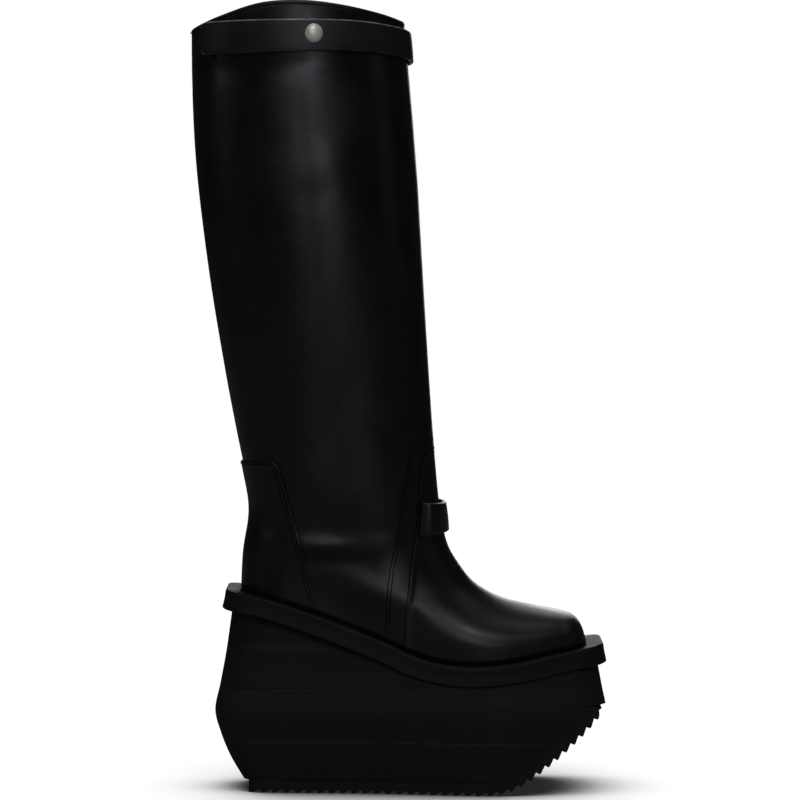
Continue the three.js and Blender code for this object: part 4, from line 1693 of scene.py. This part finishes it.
@dataclass(frozen=True)
class SnapStud:
    """The domed cap of the snap that closes the strap.

    Attributes:
        strap: the strap it sits on.
        x: where along the boot it sits.
        z: its height.
        diameter: of the cap.
        height: of the cap.
        rim: radius of its rolled rim.
        tall: its height in side view as a share of its diameter.
        stand: gap between the cap and the strap.
        steps: points round it.
    """

    strap: TopStrap
    x: float = -60.7
    z: float = 547.3
    diameter: float = 12.4
    height: float = 3.1
    rim: float = 0.3
    tall: float = 1.07
    stand: float = 0.15
    steps: int = 56

    def build(self) -> Piece:
        """Builds the cap by turning a profile: a rolled rim, then a dome that rises as sin(t)^0.8.

        Returns:
            The stud, standing square on the strap.
        """
        form, strap = self.strap.form, self.strap
        front, back = form.front.x_at(self.z), form.back.x_at(self.z)
        angle = -math.degrees(math.acos((self.x - (front + back) / 2) / ((front - back) / 2)))
        seat = float(read(strap.course, angle, 2)) + strap.thickness + self.stand
        base = form.around_shaft(np.array(angle), np.array(self.z), np.array(seat))
        beyond = form.around_shaft(np.array([angle - 1, angle + 1]), np.full(2, self.z),
                                   np.full(2, seat))
        along = unit(beyond[1] - beyond[0])
        up = np.array([0.0, 0.0, 1.0])
        out = unit(np.cross(along, up))
        out = out if out[1] < 0 else -out
        radius, height, rim, steps = self.diameter / 2, self.height, self.rim, self.steps
        turn = np.linspace(0, np.pi / 2, 12)
        dome_r = (radius - rim) * np.cos(turn)
        dome_h = rim * 1.2 + (height - rim * 1.2) * np.sin(turn) ** 0.8
        around_rim = np.linspace(-np.pi / 2, np.pi / 2, 6)
        r = np.concatenate([radius - rim + rim * np.cos(around_rim), dome_r[:-1] * 0.995])
        h = np.concatenate([rim + rim * np.sin(around_rim), dome_h[:-1]])
        spin = 2 * np.pi * np.arange(steps) / steps
        rings = (base + out * h[:, None, None] + along * (r[:, None] * np.cos(spin))[..., None]
                 + up * (self.tall * r[:, None] * np.sin(spin))[..., None])
        points = np.concatenate([rings.reshape(-1, 3), [base], [base + out * height]])
        i, last = np.arange(steps), (len(r) - 1) * steps
        following = (i + 1) % steps
        floor = np.stack([following, i, i * 0 + len(points) - 2], -1)
        crown = np.stack([last + i, last + following, i * 0 + len(points) - 1], -1)
        piece = shell("snap_stud_cap", points, [quads(len(r), steps, close_columns=True), floor, crown])
        return dress(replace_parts(piece, "strap_stud"), "stud_nickel", Finish.NICKEL)


@dataclass(frozen=True)
class AnkleLoop:
    """The leather loop across the front of the ankle, its ends let in under the quarters' edge.

    Attributes:
        upper: the upper it spans; not used.
        rows: height, front and ends (x) of its lower and upper edge, and how far each rises at
            the front.
        half_width: half of it across, where it is widest.
        thickness: of the leather.
        edge_radius: of its rounded edges.
        crown: how much its outer face swells.
        reach: angle from the front to each end.
        drawn: how far the ends are drawn in under the quarters' edge.
        drawn_from: angle from which they are.
        stations: steps from end to end.
    """

    upper: Upper
    rows: tuple = ((185.3, 37.0, 17.2, 3.2), (210.8, 34.8, 19.0, -1.4))
    half_width: float = 33.0
    thickness: float = 3.0
    edge_radius: float = 0.9
    crown: float = 0.3
    reach: float = 97.0
    drawn: float = 2.6
    drawn_from: float = 62.0
    stations: int = 90

    def build(self) -> Piece:
        """Builds the loop: x = end + (front - end) cos t, y = width sin t, drawn in at both ends.

        Returns:
            The loop.
        """
        (low, low_front, low_end, low_rise), (high, high_front, high_end, high_rise) = self.rows
        turn = np.radians(np.linspace(-self.reach, self.reach, self.stations))[:, None]
        half = (high - low) / 2
        up, off = strap_section(np.full(len(turn), half), self.thickness, self.edge_radius, self.crown)
        share = (up + half) / (2 * half)
        z = mix(low, high, share) + mix(low_rise, high_rise, share) * np.clip(np.cos(turn), 0, 1)
        front, end = mix(low_front, high_front, share), mix(low_end, high_end, share)
        inset = self.thickness - off
        drawn = self.drawn * ease(np.abs(turn), math.radians(self.drawn_from), math.radians(self.reach))
        x = end + (front - end - inset) * np.cos(turn)
        y = (self.half_width - inset - drawn) * np.sin(turn)
        stations = np.stack(np.broadcast_arrays(x, y, z), -1)
        marks = np.where(broad_faces(*stations.shape[:2]), 0, 1)
        piece = swept("ankle_loop_leather", stations, marks=[marks, 1])
        return dress(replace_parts(piece, "ankle_loop"), "strap_leather", Finish.CALF, Finish.EDGE)


# ---- Slab, platform and tread ----
@dataclass(frozen=True)
class Slab:
    """The bent foam slab that the upper is lasted onto.

    Attributes:
        form: the boot's outlines.
        start_x: heel end of its top face.
        end_x: toe end of its top face.
        thickness: of the slab.
        corner: radius of its corners seen from above.
        edge: radius of its rounded long edges.
        hollow: how far its side is drawn in halfway up.
        slope_step: step over which the slope of its top is measured.
        rounds: rounds in which `under` settles.
        per_side: points along one side.
    """

    form: BootForm = FORM
    start_x: float = -125.4
    end_x: float = 148.6
    thickness: float = 14.2
    corner: float = 20.0
    edge: float = 1.3
    hollow: float = 0.25
    slope_step: float = 0.5
    rounds: int = 6
    per_side: int = 150

    def below(self, x: Array, depth: Array) -> tuple[Array, Array]:
        """Goes down from the top face, square to it.

        Args:
            x: places along the top face.
            depth: distances below it.

        Returns:
            X and Z of the places.
        """
        step = self.slope_step
        slope = np.arctan((self.form.slab_top(x + step) - self.form.slab_top(x - step)) / (2 * step))
        return x + depth * np.sin(slope), self.form.slab_top(x) - depth * np.cos(slope)

    def ring(self, depth: float, inset: float) -> Array:
        """Lays a ring of points round the slab at a depth below its top face.

        Args:
            depth: distance below the top face.
            inset: how far inside the slab's full outline.

        Returns:
            The ring: outer side from heel to toe, then inner side from toe to heel.
        """
        form = self.form
        along, side = out_and_back(self.per_side)
        x = mix(self.start_x + inset, self.end_x - inset, along)
        half = form.foot_width((x - form.heel_x) / form.length, side) + form.ledge - form.feather_tuck
        radius = self.corner - inset
        half = (half - inset - corner_loss(x - self.start_x - inset, radius)
                - corner_loss(self.end_x - inset - x, radius))
        x_down, z_down = self.below(x, depth)
        return np.stack([x_down, side * half, z_down], -1)

    def under(self, x: Array, gap: float) -> Array:
        """Finds the height of a surface below the slab's underside.

        Args:
            x: where to read it.
            gap: its distance from the underside.

        Returns:
            The heights.
        """
        above = x
        for _ in range(self.rounds):
            above = above + x - self.below(above, self.thickness + gap)[0]
        return self.below(above, self.thickness + gap)[1]

    def build(self) -> Piece:
        """Builds the slab from rings: a rounded lower edge, a faintly hollow side, a rounded top edge.

        Returns:
            The slab.
        """
        turn = np.linspace(0, np.pi / 2, 6)
        depths = np.concatenate([self.thickness - self.edge * (1 - np.cos(turn)),
                                 np.linspace(self.thickness - self.edge, self.edge, 10)[1:-1],
                                 self.edge * (1 - np.sin(turn))])
        insets = np.concatenate([self.edge * (1 - np.sin(turn)), np.zeros(8),
                                 self.edge * (1 - np.cos(turn))])
        middle = self.hollow * np.sin(np.pi * np.clip(depths / self.thickness, 0, 1)) ** 2
        rings = np.stack([self.ring(d, i + m) for d, i, m in zip(depths, insets, middle)])
        piece = stacked("slab_body", rings)
        return dress(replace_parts(piece, "midsole_slab"), "slab_foam", Finish.SLAB)


@dataclass(frozen=True)
class Tread:
    """The rubber tread: a flat stretch, then arcs up the toe, with saw teeth across it.

    Attributes:
        start_x: heel edge.
        flat: stretch that stands on the floor.
        thickness: tooth tips to the top of the sheet.
        pitch: from one tooth to the next.
        depth: of the teeth.
        rise: steep face of a tooth, measured along the tread.
        land: flat tip of a tooth.
        arcs: turn in degrees and radius of each arc up the toe.
        side_low: distance inwards from the tips at which its sides are level.
        bevel: height of the broken edge under the blocks.
        bevel_inset: how far in that edge goes.
        toe_lift: distance inwards of the last corner at the toe.
    """

    start_x: float = -108.8
    flat: float = 170.0
    thickness: float = 9.0
    pitch: float = 8.2
    depth: float = 2.7
    rise: float = 1.2
    land: float = 1.3
    arcs: tuple = ((35.5, 56), (13, 300), (33, 14))
    side_low: float = 3.4
    bevel: float = 0.4
    bevel_inset: float = 0.1
    toe_lift: float = 1.0

    @property
    def length(self) -> float:
        """Length of the line of tooth tips."""
        return self.flat + sum(math.radians(turn) * radius for turn, radius in self.arcs)

    def at(self, along: Array, height: Array) -> tuple[Array, Array]:
        """Goes along the line of tooth tips and then square to it.

        Args:
            along: distance from the heel edge.
            height: distance inwards from the tips.

        Returns:
            X and Z of the places.
        """
        x = self.start_x + np.minimum(along, self.flat)
        z, heading = np.zeros_like(x), np.zeros_like(x)
        left = np.maximum(along - self.flat, 0)
        for turn, radius in self.arcs:
            step = np.minimum(left / radius, math.radians(turn))
            x = x + radius * (np.sin(heading + step) - np.sin(heading))
            z = z + radius * (np.cos(heading) - np.cos(heading + step))
            heading, left = heading + step, left - step * radius
        return x - height * np.sin(heading), z + height * np.cos(heading)


@dataclass(frozen=True)
class Platform:
    """Three foam blocks glued into a wedge, and the tread under them.

    Attributes:
        slab: the slab that rests on the wedge.
        tread: the tread under it.
        joints: heights of the joints between the blocks.
        rows: by height: heel end, toe end, how far the sides stand out beyond the slab, and the
            radius of the corners seen from above.
        edge: how far a block's edges are broken at the joints.
        seat: gap between the tread and the blocks on it.
        end_inset: how far the blocks' ends stay inside the rows' ends.
        cement: least and further depth of the glue lines under the blocks' faces.
        per_side: points along one side.
    """

    slab: Slab
    tread: Tread = Tread()
    joints: tuple[float, float] = (39.0, 76.5)
    rows: tuple = ((6, -111.2, 149, -11, 12), (26, -122.6, 150.4, -5.5, 15),
                   (44, -129.8, 151.2, -1.5, 18), (60, -133.6, 151.4, 0.5, 20),
                   (79, -130, 147.8, -2, 20), (103, -125.6, 143.8, -6, 19), (136, -121, 143, -9, 18))
    edge: float = 0.12
    seat: float = 0.04
    end_inset: float = 0.5
    cement: tuple[float, float] = (0.08, 0.16)
    per_side: int = 130

    def half_width(self, x: Array, z: Array, side: Array) -> Array:
        """Half-width of the platform: the foot's width, the ledge and the flare, round at the ends.

        Args:
            x, z: places in side view.
            side: -1 outside, 1 inside.

        Returns:
            The half-width at each place.
        """
        form = self.slab.form
        back, front, flare, corner = (read(self.rows, z, column) for column in (1, 2, 3, 4))
        full = form.foot_width((x - back) / (front - back), side) + form.ledge + flare
        return full - corner_loss(x - back, corner) - corner_loss(front - x, corner)

    def toe_end(self, z: Array) -> Array:
        """Toe end of the blocks: the tread's inner face low down, the platform's outline above it.

        Args:
            z: heights.

        Returns:
            X of the blocks' end at each height.
        """
        blend = 0.2
        along = np.linspace(self.tread.flat, self.tread.length, 400)
        x_line, z_line = self.tread.at(along, self.tread.thickness + self.seat)
        by_tread = np.interp(z, z_line, x_line)
        outline = read(self.rows, z, 2) - self.end_inset
        return mix(by_tread, outline, np.clip((z - z_line[-1] + blend) / (2 * blend), 0, 1))

    def block(self, name: str, low: Callable[[Array], Array], high: Callable[[Array], Array],
              steps: int) -> Piece:
        """Builds one block between two heights, its edges a little broken.

        A ring lies at one share of the way up; as the heights depend on x and the ends on z, both
        are found in a few rounds.

        Args:
            name: the piece's name.
            low: height of its underside over x.
            high: height of its top over x.
            steps: rings between them.

        Returns:
            The block.
        """
        along, side = out_and_back(self.per_side)
        rings = []
        first_ends = (-120.0, 140.0)
        broken = [(0.0, self.edge), (self.edge, 0.0)]
        levels = ([(lift, inset, 0.0) for lift, inset in broken]
                  + [(0.0, 0.0, share) for share in np.linspace(0, 1, steps)[1:-1]]
                  + [(-lift, inset, 1.0) for lift, inset in broken[::-1]])
        for lift, inset, share in levels:
            x = mix(*first_ends, along)
            for _ in range(SETTLING_ROUNDS):
                z = mix(low(x), high(x), share) + lift
                x = mix(read(self.rows, z, 1) + self.end_inset + inset, self.toe_end(z) - inset, along)
            rings.append(np.stack([x, side * (self.half_width(x, z, side) - inset), z], -1))
        return dress(stacked(name, np.stack(rings)), "platform_foam", Finish.FOAM)

    def build(self) -> list[Piece]:
        """Builds the blocks, the glue lines between them and the tread.

        Returns:
            The pieces.
        """
        gap, (lower, upper) = self.slab.form.gap / 2, self.joints
        floor = self.tread.thickness + self.seat
        pieces = [
            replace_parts(self.block("base_block", lambda x: floor + 0 * x,
                                   lambda x: lower - gap + 0 * x, 16), "platform_base_layer"),
            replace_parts(self.block("middle_block", lambda x: lower + gap + 0 * x,
                                   lambda x: upper - gap + 0 * x, 72), "platform_mid_layer"),
            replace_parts(self.block("top_wedge_block", lambda x: upper + gap + 0 * x,
                                   lambda x: self.slab.under(x, 2 * gap), 22), "platform_top_wedge"),
        ]
        pieces += [self.glue_line("glue_line_lower", lower), self.glue_line("glue_line_upper", upper)]
        return pieces + [self.build_tread()]

    def glue_line(self, name: str, z: float) -> Piece:
        """Lays the thin line of dried cement round a joint, its depth wandering as two sines of x.

        Args:
            name: the piece's name.
            z: height of the joint.

        Returns:
            The line, standing a hair proud of the groove.
        """
        along, side = out_and_back(self.per_side)
        x = mix(read(self.rows, z, 1) + self.end_inset, self.toe_end(np.array(z)), along)
        points = np.stack([x, side * self.half_width(x, z + 0 * x, side), z + 0 * x], -1)
        around = np.roll(points, -1, 0) - np.roll(points, 1, 0)
        out = unit(np.cross(around, np.array([0.0, 0.0, 1.0])))
        wander = 0.5 + 0.5 * np.sin(points[:, 0] * 0.21) * np.sin(points[:, 0] * 0.083 + side)
        sunk = self.cement[0] + self.cement[1] * wander
        line = SurfaceLine(points - out * sunk[:, None], out, closed=True)
        profile = ((0.2, -0.4), (0.2, 0.0), (0.0, 0.1), (-0.2, 0.0), (-0.2, -0.4))
        return dress(line.bead(name, profile), "platform_foam", Finish.GLUE)

    def build_tread(self) -> Piece:
        """Builds the tread: each tooth is a steep rise, a narrow land and a long slope back.

        Returns:
            The tread.
        """
        tread = self.tread
        teeth = int(tread.length // tread.pitch)
        start = np.arange(teeth)[:, None] * tread.pitch
        slope = np.linspace(0, 1, 5)[1:-1]
        slope_at = tread.rise + tread.land + slope * (tread.pitch - tread.rise - tread.land)
        one = np.concatenate([[0, tread.rise, tread.rise + tread.land], slope_at])
        lift = np.concatenate([[tread.depth, 0, 0], slope * tread.depth])
        along = np.concatenate([(start + one).ravel(), [teeth * tread.pitch, tread.length]])
        tips = np.concatenate([np.tile(lift, teeth), [tread.depth, tread.toe_lift]])
        tips[0] = 0
        back_x, back_z = tread.at(along, tread.thickness)
        back_x = np.maximum(back_x, tread.start_x)
        rings = []
        for height, inset in ((tips, 0.0), (tread.side_low, 0.0), (tread.thickness - tread.bevel, 0.0),
                              (tread.thickness, tread.bevel_inset)):
            x, z = tread.at(along, height + 0 * tips)
            outer, inner = (self.half_width(back_x, back_z, np.full_like(x, side.value)) - inset
                            for side in Side)
            rings.append(np.concatenate([np.stack([x, -outer, z], -1),
                                         np.stack([x, inner, z], -1)[::-1]]))
        piece = stacked("tread_sheet", np.stack(rings), flat=True)
        return dress(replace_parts(piece, "outsole"), "tread_rubber", Finish.RUBBER)


# ---- Studio ----
@dataclass(frozen=True)
class Softbox:
    """A rectangular soft light.

    Attributes:
        name: the light's name.
        place: its middle, in metres.
        aim: the point it faces, in metres.
        width: across.
        height: up its face.
        power: in watts.
        roll: lean of its top towards the heel, in degrees.
    """

    name: str
    place: Triple
    aim: Triple
    width: float
    height: float
    power: float
    roll: float = 0.0

    def build(self) -> Piece:
        """Builds the light.

        Returns:
            The light, linked into the scene.
        """
        light = bpy.data.lights.new(self.name, "AREA")
        light.shape = "RECTANGLE"
        light.size, light.size_y, light.energy = self.width, self.height, self.power
        lamp = bpy.data.objects.new(self.name, light)
        lamp.location = self.place
        lamp.rotation_euler = aimed(self.place, self.aim, self.roll)
        bpy.context.scene.collection.objects.link(lamp)
        return lamp


def aimed(place: Sequence[float], aim: Sequence[float], roll: float = 0.0) -> Euler:
    """Turns something that looks down its own -Z towards a point, upright but for its roll."""
    upright = (Vector(aim) - Vector(place)).to_track_quat("-Z", "Y")
    return (upright @ Quaternion((0, 0, 1), math.radians(roll))).to_euler()


@dataclass(frozen=True)
class Studio:
    """A white floor, a dim surround and soft lights, and the camera at the boot's outer side.

    Attributes:
        camera_place: the camera, in metres.
        camera_aim: what it looks at.
        lens: focal length on a 36 mm sensor.
        surround: how bright the room is in the boot's reflections.
        lights: the soft lights.
    """

    camera_place: Triple = (0.001, -2.6, 0.4195)
    camera_aim: Triple = (0.001, 0.0, 0.2835)
    lens: float = 160.5
    surround: float = 0.02
    lights: tuple[Softbox, ...] = (
        Softbox("key_box", (-0.02, -2.13, 2.01), (0.0, 0.0, 0.35), 0.95, 0.6, 10.6),
        Softbox("low_box", (0.06, -2.67, 0.84), (0.0, 0.0, 0.35), 0.2, 1.2, 4.6, 48.0),
        Softbox("top_box", (0.0, -0.2, 2.55), (0.0, 0.0, 0.0), 1.0, 1.0, 6.0),
        Softbox("heel_box", (-2.43, -0.65, 1.05), (0.0, 0.0, 0.35), 0.8, 1.2, 1.1),
        Softbox("toe_box", (2.43, -0.65, 1.05), (0.0, 0.0, 0.35), 0.8, 1.2, 0.4),
        Softbox("toe_top_box", (1.38, 0.0, 2.32), (0.0, 0.0, 0.35), 1.2, 1.2, 1.2),
        Softbox("back_box", (0.15, 2.13, 1.9), (0.0, 0.0, 0.3), 1.0, 0.7, 5.0),
        Softbox("back_low_box", (0.3, 2.7, 0.7), (0.0, 0.0, 0.3), 0.9, 1.2, 9.0),
    )

    def build(self) -> None:
        """Builds the floor, the surround, the lights and the camera."""
        scene = bpy.context.scene
        scene.view_settings.view_transform = "Standard"
        for box in self.lights:
            box.build()
        self.build_floor()
        self.build_surround()
        data = bpy.data.cameras.new("camera")
        data.lens, data.sensor_width = self.lens, 36.0
        camera = bpy.data.objects.new("camera", data)
        camera.location = self.camera_place
        camera.rotation_euler = aimed(self.camera_place, self.camera_aim)
        scene.collection.objects.link(camera)
        scene.camera = camera

    def build_floor(self) -> None:
        """Builds a wide disc that glows white, its glow cut near the boot by ambient occlusion as a
        painted contact shadow, and fades to plain white further off.
        """
        corners, radius = 96, 14.0
        turns = 2 * np.pi * np.arange(corners) / corners
        ring = np.stack([np.cos(turns), np.sin(turns), 0 * turns], -1)
        mesh = bpy.data.meshes.new("floor")
        mesh.from_pydata((ring * radius).tolist(), [], [list(range(corners))])
        floor = bpy.data.objects.new("floor", mesh)
        bpy.context.scene.collection.objects.link(floor)
        material = bpy.data.materials.new("white_floor")
        material.use_nodes = True
        wires = Wiring(material.node_tree)
        place = wires.add("TexCoord").outputs["Object"]
        distance = wires.add("VectorMath", {"operation": "LENGTH"})
        wires.set(distance.inputs[0], place)
        far = wires.stretch(distance.outputs["Value"], 0.35, 0.9)
        # Ambient occlusion cuts the glow near the boot: a painted contact shadow.
        hidden = wires.add("AmbientOcclusion", {"samples": 24}, Distance=0.5)
        painted_shadow_strength = wires.stretch(hidden.outputs["AO"], 0.3, 0.93, 0.02, 1.05)
        seen = wires.add("Emission", None, Color=grey(1.0),
                         Strength=wires.maths("MAXIMUM", painted_shadow_strength, wires.maths("MULTIPLY", far, 1.05)))
        dim = wires.add("BsdfDiffuse", None, Color=grey(0.3))
        self.split(wires, "OutputMaterial", seen.outputs[0], dim.outputs[0])
        mesh.materials.append(material)

    def build_surround(self) -> None:
        """Makes the world white behind the boot and dim in its reflections."""
        world = bpy.data.worlds.new("surround")
        world.use_nodes = True
        wires = Wiring(world.node_tree)
        seen = wires.add("Background", None, Color=grey(1.0), Strength=1.0)
        felt = wires.add("Background", None, Color=grey(1.0), Strength=self.surround)
        self.split(wires, "OutputWorld", seen.outputs[0], felt.outputs[0])
        bpy.context.scene.world = world

    @staticmethod
    def split(wires: Wiring, output: str, seen: Socket, felt: Socket) -> None:
        """Ends a tree with one shader for the camera and another for every other ray.

        Args:
            wires: the tree's wiring.
            output: kind of the output node.
            seen: what the camera sees.
            felt: what lights and reflections see.
        """
        both = wires.add("MixShader", None, Fac=wires.add("LightPath").outputs["Is Camera Ray"])
        wires.set(both.inputs[1], felt)
        wires.set(both.inputs[2], seen)
        wires.set(wires.add(output).inputs["Surface"], both.outputs[0])


def main() -> None:
    """Loads the frame and builds every sub-assembly around it in order."""
    logging.basicConfig(level=logging.INFO, format="%(name)s: %(message)s")
    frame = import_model()
    LOG.info("frame has %d nodes", len(frame["nodes"]))
    Studio().build()
    upper = Upper()
    upper.build()
    upper.trims()
    counter = HeelCounter(upper)
    counter.build()
    counter.stitches()
    strap = TopStrap()
    strap.build()
    strap.anchor_stitches()
    SnapStud(strap).build()
    AnkleLoop(upper).build()
    slab = Slab()
    slab.build()
    Platform(slab).build()
    insole = frame["nodes"]["insole"]
    insole.data.materials.clear()
    insole.data.materials.append(Finish.SOCK.material())


if __name__ == "__main__":
    main()
